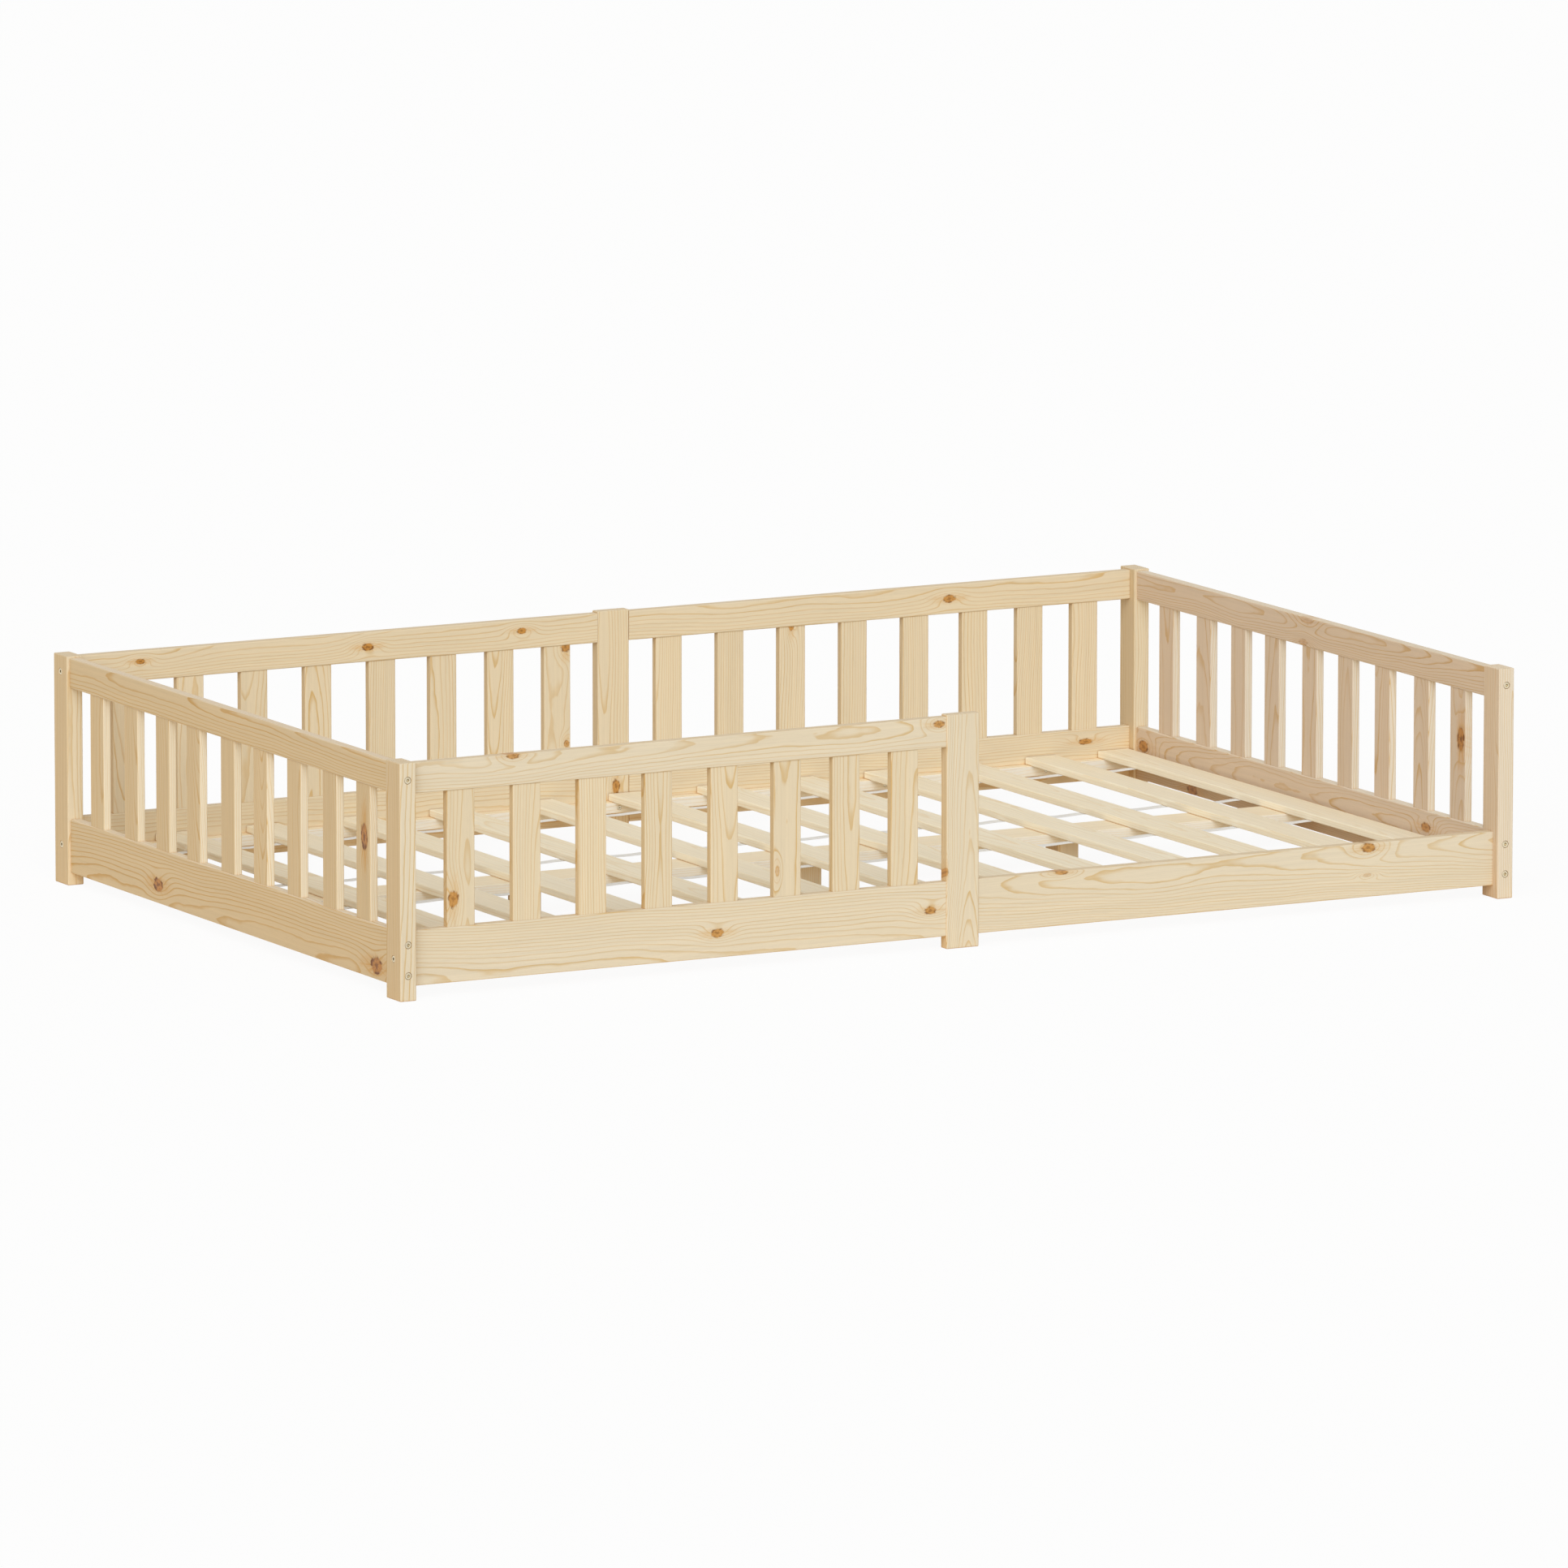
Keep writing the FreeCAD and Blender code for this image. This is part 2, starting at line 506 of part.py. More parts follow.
for word in FEET:
    foot = plank(f"{word}_foot", "XY_Plane", cell("foot_across"), cell("foot_deep"), FOOT_TALL)
    pair = [("0", y, SCREW_HOLE) for y in FOOT_PAIR]
    bore(foot, f"{word}_foot_screws", "XY_Plane", f"({FOOT_TALL} / 2)", pair,
         cell("foot_screw_bite + fit_gap"))
    place(foot, foot_x(word), "0", f"({FOOT_TALL} / 2)")

# ---- slatted base that rolls up and lifts out -----------------------------------------------------------

for number in range(1, len(SLATS) + 1):
    slat = plank(f"slat_{number:02d}", "XZ_Plane", cell("slat_wide"), cell("slat_thick"), SLAT_LONG,
                 cell("slat_round"))
    place(slat, slat_x(number), "0", cell("ledge_top + slat_thick / 2"))

TAPE_LONG = f"({slat_x(len(SLATS))} - {slat_x(1)} + sizes.slat_wide)"
TAPE_X = f"(({slat_x(len(SLATS))} + {slat_x(1)}) / 2)"
TAPES = {"front_outer": "-sizes.outer_tape_place", "front_inner": "-sizes.inner_tape_place",
         "rear_inner": "sizes.inner_tape_place", "rear_outer": "sizes.outer_tape_place"}
for word, share in TAPES.items():
    tape = new_body(f"{word}_tape")
    tape_sketch = new_sketch(tape, f"{word}_tape_section", "YZ_Plane", "0")
    draw_box(tape_sketch, "0", "0", cell("tape_wide"), cell("tape_thick"))
    add_pad(tape, f"{word}_tape_band", tape_sketch, TAPE_LONG, symmetric=True)
    place(tape, TAPE_X, f"({share} * {SLAT_LONG})", cell("ledge_top - tape_thick / 2"))

# ---- fittings ------------------------------------------------------------------------------------


def fastener_set(name, kind, role, level, spots, long, along_normal):
    """Screws of one kind with their heads in one plane: a round head with a chamfered rim and a hexagon
    socket, and a plain shank. The level is that of the top of the heads along the plane's normal."""
    head_wide = cell(f"{kind}_head_wide")
    body = new_body(name)
    heads = new_sketch(body, f"{name}_heads", role, level)
    shanks = new_sketch(body, f"{name}_shanks", role, level)
    sockets = new_sketch(body, f"{name}_sockets", role, level)
    for x, y in spots:
        draw_circle(heads, x, y, head_wide)
        draw_circle(shanks, x, y, cell(f"{kind}_wide"))
        draw_hexagon(sockets, x, y, cell(f"{kind}_socket_wide"))
    head = add_pad(body, f"{name}_discs", heads, cell(f"{kind}_head_tall"), backwards=not along_normal)
    rims = edges_where(head, lambda edge: on_level(edge, role, value(level)) and is_circle(edge, head_wide))
    soften(body, "Chamfer", f"{name}_rims", head, rims, "Size", cell(f"{kind}_rim"))
    add_pad(body, f"{name}_rods", shanks, long, backwards=not along_normal)
    add_pocket(body, f"{name}_recesses", sockets, cell(f"{kind}_socket_deep"), along_normal)
    return body


def on_level(edge, role, level):
    """True for an edge that lies in a plane parallel to an origin plane, at a level along its normal."""
    middle = edge.CenterOfMass
    along = {"YZ_Plane": middle.x, "XZ_Plane": -middle.y, "XY_Plane": middle.z}
    return abs(along[role] - level) < 1e-6


def is_circle(edge, wide):
    return edge.Curve.TypeId == "Part::GeomCircle" and abs(edge.Curve.Radius - value(wide) / 2) < 1e-6


LEVEL_X = f"({HALF_LENGTH} - sizes.bolt_sunk)"
LEVEL_Y = f"({HALF_WIDTH} - sizes.bolt_sunk)"
LONG_BOLT = cell("post_deep - bolt_sunk + bolt_grip")
SHORT_BOLT = cell("post_across - bolt_sunk + bolt_grip")
FRONT_SPOTS = [(x, z) for x in (f"(0 - {POST_X})", POST_X) for z in FRONT_BOLTS]
REAR_SPOTS = [(x, z) for x in (f"(0 - {POST_X})", POST_X) for z in LOW_BOLTS]
SIDE_SPOTS = [(f"(0 - {POST_Y})", LOW_Z), (POST_Y, LOW_Z), (POST_Y, TOP_Z)]
fastener_set("front_post_bolts", "bolt", "XZ_Plane", LEVEL_Y, FRONT_SPOTS, LONG_BOLT, False)
fastener_set("rear_post_bolts", "bolt", "XZ_Plane", f"(0 - {LEVEL_Y})", REAR_SPOTS, LONG_BOLT, True)
fastener_set("left_side_bolts", "bolt", "YZ_Plane", f"(0 - {LEVEL_X})", SIDE_SPOTS, SHORT_BOLT, True)
fastener_set("right_side_bolts", "bolt", "YZ_Plane", LEVEL_X, SIDE_SPOTS, SHORT_BOLT, False)

LEDGE_SCREW_LONG = cell("ledge_deep - fit_gap + screw_bite")
LEDGE_LEVEL = f"({RAIL_FACE} - sizes.ledge_deep + sizes.fit_gap)"
LEDGE_SPOTS = [(x, cell("ledge_top - ledge_tall / 2")) for x in LEDGE_SCREW_X]
fastener_set("front_ledge_screws", "screw", "XZ_Plane", LEDGE_LEVEL, LEDGE_SPOTS, LEDGE_SCREW_LONG, True)
fastener_set("rear_ledge_screws", "screw", "XZ_Plane", f"(0 - {LEDGE_LEVEL})", LEDGE_SPOTS, LEDGE_SCREW_LONG,
             False)
fastener_set("foot_screws", "screw", "XY_Plane", cell("ledge_top - fit_gap"), FOOT_SCREWS,
             cell("beam_thick - fit_gap + foot_screw_bite"), False)


def dowel_rows(name, role, rows):
    """Round wooden dowels. Each row has its places, the level of the dowel's end and its direction."""
    body = new_body(name)
    for number, (spots, level, backwards) in enumerate(rows):
        sketch = new_sketch(body, f"{name}_circles_{number}", role, level)
        for x, y in spots:
            draw_circle(sketch, x, y, cell("dowel_wide"))
        add_pad(body, f"{name}_row_{number}", sketch, cell("dowel_length"), backwards=backwards)
    ends = edges_where(body.Tip, lambda edge: is_circle(edge, cell("dowel_wide")))
    soften(body, "Chamfer", f"{name}_ends", body.Tip, ends, "Size", cell("dowel_chamfer"))
    return body


def long_dowels(name, front, corner_rows, mid_rows):
    """Dowels along X: at the corner posts and at both sides of the mid post of a long side."""
    y = f"(0 - {POST_Y})" if front else POST_Y
    corner = cell("bed_length / 2 - post_across + dowel_set")
    mid = cell("mid_post_wide / 2 - dowel_set")
    rows = []
    for side, heights in corner_rows:
        level = corner if side > 0 else f"(0 - {corner})"
        rows.append(([(y, z) for z in heights], level, side > 0))
    for side, heights in mid_rows:
        level = mid if side > 0 else f"(0 - {mid})"
        rows.append(([(y, z) for z in heights], level, side < 0))
    return dowel_rows(name, "YZ_Plane", rows)


long_dowels("front_dowels", True, [(-1, LOW_DOWELS + TOP_DOWELS), (1, LOW_DOWELS)],
            [(-1, LOW_DOWELS + TOP_DOWELS), (1, LOW_DOWELS)])
long_dowels("rear_dowels", False, [(-1, LOW_DOWELS), (1, LOW_DOWELS)],
            [(-1, LOW_DOWELS + TOP_DOWELS), (1, LOW_DOWELS + TOP_DOWELS)])
END_LEVEL = cell("post_deep - dowel_set - bed_width / 2")
end_spots = [(x, z) for x in (f"(0 - {POST_X})", POST_X) for z in TOP_DOWELS]
dowel_rows("end_rail_dowels", "XZ_Plane", [(end_spots, END_LEVEL, False)])
BEAM_LEVEL = f"({END_FACE} + sizes.dowel_set)"
beam_spots = [(y, BEAM_Z) for y in BEAM_DOWELS]
dowel_rows("centre_beam_dowels", "YZ_Plane", [(beam_spots, f"(0 - {BEAM_LEVEL})", False),
                                               (beam_spots, BEAM_LEVEL, True)])

# ---- check and write -------------------------------------------------------------------------------

doc.recompute()
for item in doc.Objects:
    if "Invalid" in item.State or "Error" in item.State:
        raise RuntimeError(f"{item.Label} failed: {item.State}")
for body in pieces:
    if body.Shape.isNull() or not body.Shape.isValid():
        raise RuntimeError(f"{body.Label} has no valid shape")

os.makedirs("parts", exist_ok=True)
for body in pieces:
    body.Shape.exportStep(f"parts/{body.Label}.step")
print(len(pieces), "pieces written")
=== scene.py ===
# %% [markdown]
# # A floor bed for a small child, in planed pine
# The frame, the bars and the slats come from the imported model, where each board is a solid of its own. This
# lesson gives every board its own piece of wood, with growth rings, knots and fibres. Then it weaves the
# tapes under the slats, puts in their staples and sets up a pale studio.
#
# Everything is in metres, with the origin on the floor under the middle of the bed and the front at -Y.

# %% Load the model and keep its size
import math

import bpy
import numpy as np
from mathutils import Matrix, Vector


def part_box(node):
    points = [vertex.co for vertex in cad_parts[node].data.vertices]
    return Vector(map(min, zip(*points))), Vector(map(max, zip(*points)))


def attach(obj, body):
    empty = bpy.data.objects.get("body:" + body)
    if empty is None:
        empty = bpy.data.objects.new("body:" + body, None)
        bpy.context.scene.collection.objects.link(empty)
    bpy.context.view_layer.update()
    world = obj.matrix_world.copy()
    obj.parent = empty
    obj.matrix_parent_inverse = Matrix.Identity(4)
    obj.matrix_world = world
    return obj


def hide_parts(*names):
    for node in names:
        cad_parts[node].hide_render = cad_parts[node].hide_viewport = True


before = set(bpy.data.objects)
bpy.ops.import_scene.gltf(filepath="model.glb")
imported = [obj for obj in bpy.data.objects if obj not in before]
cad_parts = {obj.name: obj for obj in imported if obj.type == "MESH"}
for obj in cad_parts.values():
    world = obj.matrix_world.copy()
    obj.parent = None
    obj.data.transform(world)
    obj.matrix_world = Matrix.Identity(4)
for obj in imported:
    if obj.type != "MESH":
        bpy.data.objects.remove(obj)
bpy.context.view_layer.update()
bed = bpy.context.scene.collection

# %% [markdown]
# ## Camera
# The bed is seen from far away with a long lens, so its parallel rails stay almost parallel. A camera can be
# moved about by eye until the picture fits, but here its place and its angles were worked out from the
# corners of the posts, which leaves no guess. A camera looks along its own -Z, so its matrix has the
# direction to the right, the direction up and the direction back as its columns.

# %% Camera far off to the front left, a little above the bed
IMAGE_WIDE = 1932
FOCAL_PIXELS = 19394.0
SENSOR_MILLIMETRES = 36.0
SIGHT_FAR = 200.0
CAMERA_PLACE = Vector((-12.1297, -22.6934, 4.4914))
YAW, PITCH, ROLL = 0.49101, 0.16611, 0.00055

forward = Vector((math.sin(YAW) * math.cos(PITCH), math.cos(YAW) * math.cos(PITCH), -math.sin(PITCH)))
level_right = forward.cross(Vector((0, 0, 1))).normalized()
level_up = level_right.cross(forward)
right = level_right * math.cos(ROLL) + level_up * math.sin(ROLL)
up = level_up * math.cos(ROLL) - level_right * math.sin(ROLL)

lens = bpy.data.cameras.new("studio_camera")
lens.sensor_width = SENSOR_MILLIMETRES
lens.lens = FOCAL_PIXELS / IMAGE_WIDE * SENSOR_MILLIMETRES
lens.clip_end = SIGHT_FAR
camera = bpy.data.objects.new("studio_camera", lens)
turn = Matrix((right, up, -forward)).transposed().to_4x4()
camera.matrix_world = Matrix.Translation(CAMERA_PLACE) @ turn
bed.objects.link(camera)
bpy.context.scene.camera = camera
print("lens", round(lens.lens, 1), "mm, looking down", round(math.degrees(PITCH), 1), "degrees")

# %% [markdown]
# ## A helper for shader nodes
# A material is a graph of small steps. It can be drawn by hand in the shader editor, but this bed needs one
# for every board, each a little different, so the steps are written down once. The helper adds one step at a
# time: an input may be a number, which is typed into the socket, or the output of an earlier step, which is
# linked to it. Steps that many materials share go into a node group, which is a step of its own.

# %% Graph helper
class Graph:
    """Adds nodes to a node tree, with each input given as a number or as another node's output."""

    def __init__(self, tree):
        self.tree = tree

    def add(self, kind, inputs=(), **settings):
        node = self.tree.nodes.new(kind)
        for name, setting in settings.items():
            setattr(node, name, setting)
        for key, given in dict(inputs).items():
            if isinstance(given, bpy.types.NodeSocket):
                self.tree.links.new(given, node.inputs[key])
            else:
                node.inputs[key].default_value = given
        return node

    def sum(self, kind, *values):
        """One step of arithmetic on numbers, such as ADD, MULTIPLY or POWER."""
        return self.add("ShaderNodeMath", dict(enumerate(values)), operation=kind).outputs[0]

    def vector(self, kind, *values):
        """One step of arithmetic on vectors. LENGTH gives a number, the others a vector."""
        node = self.add("ShaderNodeVectorMath", dict(enumerate(values)), operation=kind)
        return node.outputs["Value" if kind == "LENGTH" else "Vector"]

    def split(self, vector):
        return self.add("ShaderNodeSeparateXYZ", {0: vector}).outputs

    def join(self, x, y, z):
        return self.add("ShaderNodeCombineXYZ", {0: x, 1: y, 2: z}).outputs[0]

    def noise(self, place, scale=1.0, detail=2.0):
        """Soft noise around 0, from about -0.5 to 0.5."""
        inputs = {"Vector": place, "Scale": scale, "Detail": detail}
        node = self.add("ShaderNodeTexNoise", inputs, noise_dimensions="3D")
        return self.sum("SUBTRACT", node.outputs[0], 0.5)

    def ramp(self, value, low, high, to_low=0.0, to_high=1.0):
        """Carries a value from one range to another, eased at both ends."""
        inputs = {"Value": value, "From Min": low, "From Max": high, "To Min": to_low, "To Max": to_high}
        return self.add("ShaderNodeMapRange", inputs, interpolation_type="SMOOTHSTEP").outputs[0]

    def mix(self, share, first, second, blend="MIX"):
        """Colour between two colours. The sockets for colours are the node's inputs 6 and 7 and output 2."""
        inputs = {0: share, 6: first, 7: second}
        return self.add("ShaderNodeMix", inputs, data_type="RGBA", blend_type=blend).outputs[2]


print("graph helper ready")

# %% New groups and empty materials
def new_group(name, inputs, outputs):
    """Empty node group with named sockets. Each input is given by its name, its kind and its first value,
    and each output, always a number, by its name."""
    group = bpy.data.node_groups.new(name, "ShaderNodeTree")
    for label, kind, value in inputs:
        socket = group.interface.new_socket(label, in_out="INPUT", socket_type=f"NodeSocket{kind}")
        socket.default_value = value
    for label in outputs:
        group.interface.new_socket(label, in_out="OUTPUT", socket_type="NodeSocketFloat")
    graph = Graph(group)
    return graph, graph.add("NodeGroupInput").outputs, graph.add("NodeGroupOutput").inputs


def empty_graph(owner):
    """Graph of a material or a world, with the nodes that it came with cleared away."""
    owner.use_nodes = True
    owner.node_tree.nodes.clear()
    return Graph(owner.node_tree)


print("groups and empty materials ready")

# %% [markdown]
# ## Wood as it grows
# A board is cut out of a trunk, and a trunk is a stack of cones, one for each year. Where the face of the
# board cuts the cones at a shallow angle the rings show as long arches, and on its edge as fine lines. A
# painted pattern could stand for them, but its lines would stop at every edge of the board. So the wood is
# worked out in space: at each point the distance to the pith of the trunk is found, and its place within the
# year tells pale spring wood from the darker line of late wood. All faces of a board then agree, the ends
# included. Every board is given its own pith, lean and ring width.
#
# The point is given in the board's own directions: x along the grain, y across the face, z through it.

# %% Noise that follows the grain
def along_grain(graph, point, shift, along_scale, cross_scale, detail):
    """Noise drawn out along the grain. It is read at the point times one scale along the board and a finer
    one across it, plus a shift that differs from board to board."""
    scaled = graph.vector("MULTIPLY", point, (along_scale, cross_scale, cross_scale))
    return graph.noise(graph.vector("ADD", scaled, shift), detail=detail)


print("noise along the grain ready")

# %% Distance to the pith
# a trunk is neither straight nor round: each of these waves has its scale along the board, its scale across
# it, its detail, and how far it moves the rings
CROOKED = [(3.0, 5.0, 1.0, 0.020), (7.0, 38.0, 2.0, 0.0040), (38.0, 90.0, 1.0, 0.0009),
           (26.0, 420.0, 1.0, 0.0002)]
SEED_STEPS = (7.31, 3.17, 5.93)

rings, ring_in, ring_out = new_group(
    "growth_rings",
    [("Place", "Vector", (0, 0, 0)), ("Seed", "Float", 0.0), ("Across", "Float", 0.0),
     ("Below", "Float", 0.06), ("Lean Across", "Float", 0.0), ("Lean Below", "Float", 0.02),
     ("Ring", "Float", 0.003), ("Bulge", "Float", 0.0)],
    ["Late"])
along, across, through = rings.split(ring_in["Place"])
pith_across = rings.sum("MULTIPLY_ADD", along, ring_in["Lean Across"], ring_in["Across"])
pith_below = rings.sum("MULTIPLY_ADD", along, ring_in["Lean Below"], ring_in["Below"])
# root of the squares of the offsets across and below, and then what the trunk's crookedness adds
off_across = rings.sum("SUBTRACT", across, pith_across)
off_below = rings.sum("SUBTRACT", through, pith_below)
distance = rings.vector("LENGTH", rings.join(off_across, off_below, 0.0))
seed_shift = rings.join(*(rings.sum("MULTIPLY", ring_in["Seed"], step) for step in SEED_STEPS))
for along_scale, cross_scale, detail, moved in CROOKED:
    wave = along_grain(rings, ring_in["Place"], seed_shift, along_scale, cross_scale, detail)
    distance = rings.sum("MULTIPLY_ADD", wave, moved, distance)
distance = rings.sum("ADD", distance, ring_in["Bulge"])
print("distance to the pith:", len(rings.tree.nodes), "steps, with", len(CROOKED), "waves")

# %% Late wood
# late wood comes on over the last third of the year and stops sharply, and some years have a paler line
LATE_STARTS, LATE_DARKEST, PALEST_LINE = 0.66, 0.95, 0.45

years = rings.sum("DIVIDE", distance, ring_in["Ring"])
year = rings.sum("FLOOR", years)
season = rings.sum("SUBTRACT", years, year)
come = rings.ramp(season, LATE_STARTS, LATE_DARKEST)
stop = rings.ramp(season, LATE_DARKEST, 1.0, 1.0, 0.0)
year_seed = rings.sum("ADD", year, ring_in["Seed"])
weather = rings.add("ShaderNodeTexWhiteNoise", {"W": year_seed}, noise_dimensions="1D").outputs["Value"]
strength = rings.sum("MULTIPLY_ADD", weather, 1.0 - PALEST_LINE, PALEST_LINE)
late = rings.sum("MULTIPLY", rings.sum("MULTIPLY", come, stop), strength)
rings.tree.links.new(late, ring_out["Late"])
print("growth rings:", len(rings.tree.nodes), "steps")

# %% [markdown]
# ## Knots
# A knot is the foot of a branch. It runs straight through the board, so it is a round or oval plug with
# rings of its own, orange and hard, darker along parts of its edge and with fine rays into the wood around.
# A spot of colour alone would look stuck on, because the trunk's rings swell to go round a real knot. Adding
# a smooth hump to the distance from the pith makes the lines part and close round the plug by themselves.
#
# The knots of a board are a chain: each takes the marks of those before it and adds its own.

# %% Where a point lies in a knot
# the branch climbs a little on its way through the board, and its outline isn't a true oval
CLIMB, OUTLINE_WAVE = 0.35, 0.75

knot, knot_in, knot_out = new_group(
    "knot",
    [("Place", "Vector", (0, 0, 0)), ("Seed", "Float", 0.0), ("Middle", "Vector", (0, 0, 0)),
     ("Half Long", "Float", 0.009), ("Half Wide", "Float", 0.006), ("Strength", "Float", 1.0),
     ("Bulge Before", "Float", 0.0),
     ("Plug Before", "Float", 0.0), ("Dark Before", "Float", 0.0), ("Halo Before", "Float", 0.0)],
    ["Bulge", "Plug", "Dark", "Halo"])
along, across, through = knot.split(knot.vector("SUBTRACT", knot_in["Place"], knot_in["Middle"]))
along = knot.sum("MULTIPLY_ADD", through, CLIMB, along)
# from here on a knot is 1 in size: the place is counted in its half length and its half width
flat = knot.join(knot.sum("DIVIDE", along, knot_in["Half Long"]),
                 knot.sum("DIVIDE", across, knot_in["Half Wide"]), 0.0)
knot_seed = knot.join(knot_in["Seed"], 0.0, 0.0)
outline = knot.noise(knot.vector("ADD", flat, knot_seed), scale=1.7, detail=3.0)
reach = knot.sum("MULTIPLY_ADD", outline, OUTLINE_WAVE, knot.vector("LENGTH", flat))
print("place in a knot:", len(knot.tree.nodes), "steps")

# %% Plug, dark edge and core
# where each part of a knot comes and goes, counted from its middle
PLUG_GOES, EDGE_COMES, EDGE_GOES, CORE_GOES = (0.84, 1.08), (0.50, 0.92), (0.98, 1.22), (0.05, 0.52)
# the values of the noise between which the dark arcs of the edge, and the rays, come up
ARC_RANGE, RAY_RANGE = (-0.06, 0.10), (-0.05, 0.16)
# how dark the edge is outside its arcs, how dark the rings of the plug get, and the core
EDGE_DARK, RINGS_DARK, CORE_DARK = 0.20, 0.65, 0.75
# how fast the rings of the plug follow each other, and how much further the core goes towards an arc
RING_PACE, CORE_FURTHER = 13.0, 0.18

# the way from the middle alone gives the rays, and the parts of the edge that are dark
way = knot.vector("ADD", knot.vector("NORMALIZE", flat), knot_seed)
arcs = knot.ramp(knot.noise(way, scale=1.1, detail=1.0), *ARC_RANGE)
rays = knot.ramp(knot.noise(way, scale=5.5, detail=2.0), *RAY_RANGE)
plug = knot.ramp(reach, *PLUG_GOES, 1.0, 0.0)
own_rings = knot.ramp(knot.sum("SINE", knot.sum("MULTIPLY", reach, RING_PACE)), -1.0, 1.0)
edge = knot.sum("MULTIPLY", knot.ramp(reach, *EDGE_COMES), knot.ramp(reach, *EDGE_GOES, 1.0, 0.0))
edge = knot.sum("MULTIPLY", edge, knot.sum("MULTIPLY_ADD", arcs, 1.0 - EDGE_DARK, EDGE_DARK))
inner = knot.sum("MULTIPLY", knot.sum("MULTIPLY", own_rings, rays), knot.sum("MULTIPLY", plug, RINGS_DARK))
core = knot.ramp(knot.sum("MULTIPLY_ADD", arcs, -CORE_FURTHER, reach), *CORE_GOES, CORE_DARK, 0.0)
dark = knot.sum("MAXIMUM", knot.sum("MAXIMUM", edge, inner), core)
print("with plug, edge and core:", len(knot.tree.nodes), "steps")

# %% Hump and halo
# the hump is e to the power of minus the square of the distance, longer along the grain than across
HUMP_SHAPE, HUMP_HEIGHT = (0.36, 0.46, 0.0), 0.013
# resin runs out of a knot along the grain, so the warm halo round it has a tail at both ends
HALO_SHAPE, HALO_WAVE, HALO_GOES, HALO_FAINTEST = (0.42, 0.95, 0.0), 0.9, (0.55, 1.7), 0.4

hump = knot.vector("LENGTH", knot.vector("MULTIPLY", flat, HUMP_SHAPE))
hump = knot.sum("EXPONENT", knot.sum("MULTIPLY", knot.sum("MULTIPLY", hump, hump), -1.0))
bulge = knot.sum("MULTIPLY_ADD", hump, HUMP_HEIGHT, knot_in["Bulge Before"])
tail = knot.vector("LENGTH", knot.vector("MULTIPLY", flat, HALO_SHAPE))
tail = knot.ramp(knot.sum("MULTIPLY_ADD", outline, HALO_WAVE, tail), *HALO_GOES, 1.0, 0.0)
halo = knot.sum("MULTIPLY", tail, knot.sum("MULTIPLY_ADD", rays, 1.0 - HALO_FAINTEST, HALO_FAINTEST))
knot.tree.links.new(bulge, knot_out["Bulge"])
for label, amount in (("Plug", plug), ("Dark", dark), ("Halo", halo)):
    amount = knot.sum("MULTIPLY", amount, knot_in["Strength"])
    knot.tree.links.new(knot.sum("MAXIMUM", amount, knot_in[f"{label} Before"]), knot_out[label])
print("with hump and halo:", len(knot.tree.nodes), "steps")

# %% [markdown]
# ## Pine
# The wood of the bed is pale pine, sanded and left bare. Spring wood is cream, late wood is golden, and both
# carry fine fibres, short darker resin dashes and slow changes of tone along the board. The knots lay their
# orange plug, dark edge and warm halo over that. Late wood is a little smoother and stands a hair proud,
# which the roughness and the bump take from the same rings, so that they always agree with the colour.

# %% Colours and patterns of pine
# the wood is multiplied by the colour of the clouds, and painted over with the others
SPRING = (0.820, 0.684, 0.488, 1.0)
LATE = (0.672, 0.425, 0.150, 1.0)
CLOUD = (1.0, 0.955, 0.86, 1.0)
PLUG = (0.650, 0.305, 0.065, 1.0)
PLUG_DARK = (0.210, 0.072, 0.012, 1.0)
HALO = (0.720, 0.410, 0.125, 1.0)
# how much of its colour each of them gives where it is strongest
LATE_SHARE, CLOUD_SHARE = 0.85, 0.30
KNOT_PAINT = {"Halo": (0.62, HALO), "Plug": (0.90, PLUG), "Dark": (0.78, PLUG_DARK)}
# the scale along the board, the scale across it and the detail of each pattern
FIBRES, STRANDS, CLOUDS, DASHES = (14.0, 900.0, 2.0), (3.5, 190.0, 2.0), (1.6, 9.0, 1.0), (55.0, 1500.0, 0.0)
# how much lighter or darker they make the wood, and how much the boards of one row differ
FIBRE_LIGHT, STRAND_LIGHT, DASH_LIGHT, BOARD_LIGHT = 0.10, 0.16, -0.045, 0.07
# the values of the noise between which clouds and dashes come up
CLOUD_RANGE, DASH_RANGE = (-0.22, 0.22), (0.17, 0.26)


def bare_colour(graph, point, shift, fibres, late_wood, contrast, luck):
    """Colour of the wood between its knots: spring and late wood, clouds, then the light of the patterns."""
    strands = along_grain(graph, point, shift, *STRANDS)
    cloud = graph.ramp(along_grain(graph, point, shift, *CLOUDS), *CLOUD_RANGE)
    dashes = graph.ramp(along_grain(graph, point, shift, *DASHES), *DASH_RANGE)
    colour = graph.mix(graph.sum("MULTIPLY", late_wood, LATE_SHARE * contrast), SPRING, LATE)
    colour = graph.mix(graph.sum("MULTIPLY", cloud, CLOUD_SHARE), colour, CLOUD, "MULTIPLY")
    light = graph.sum("MULTIPLY_ADD", fibres, FIBRE_LIGHT, 1.0)
    light = graph.sum("MULTIPLY_ADD", strands, STRAND_LIGHT, light)
    light = graph.sum("MULTIPLY_ADD", dashes, DASH_LIGHT, light)
    if luck is not None:
        light = graph.sum("MULTIPLY_ADD", luck, BOARD_LIGHT, light)
    return graph.mix(1.0, colour, graph.join(light, light, light), "MULTIPLY")


print("colours of pine ready")
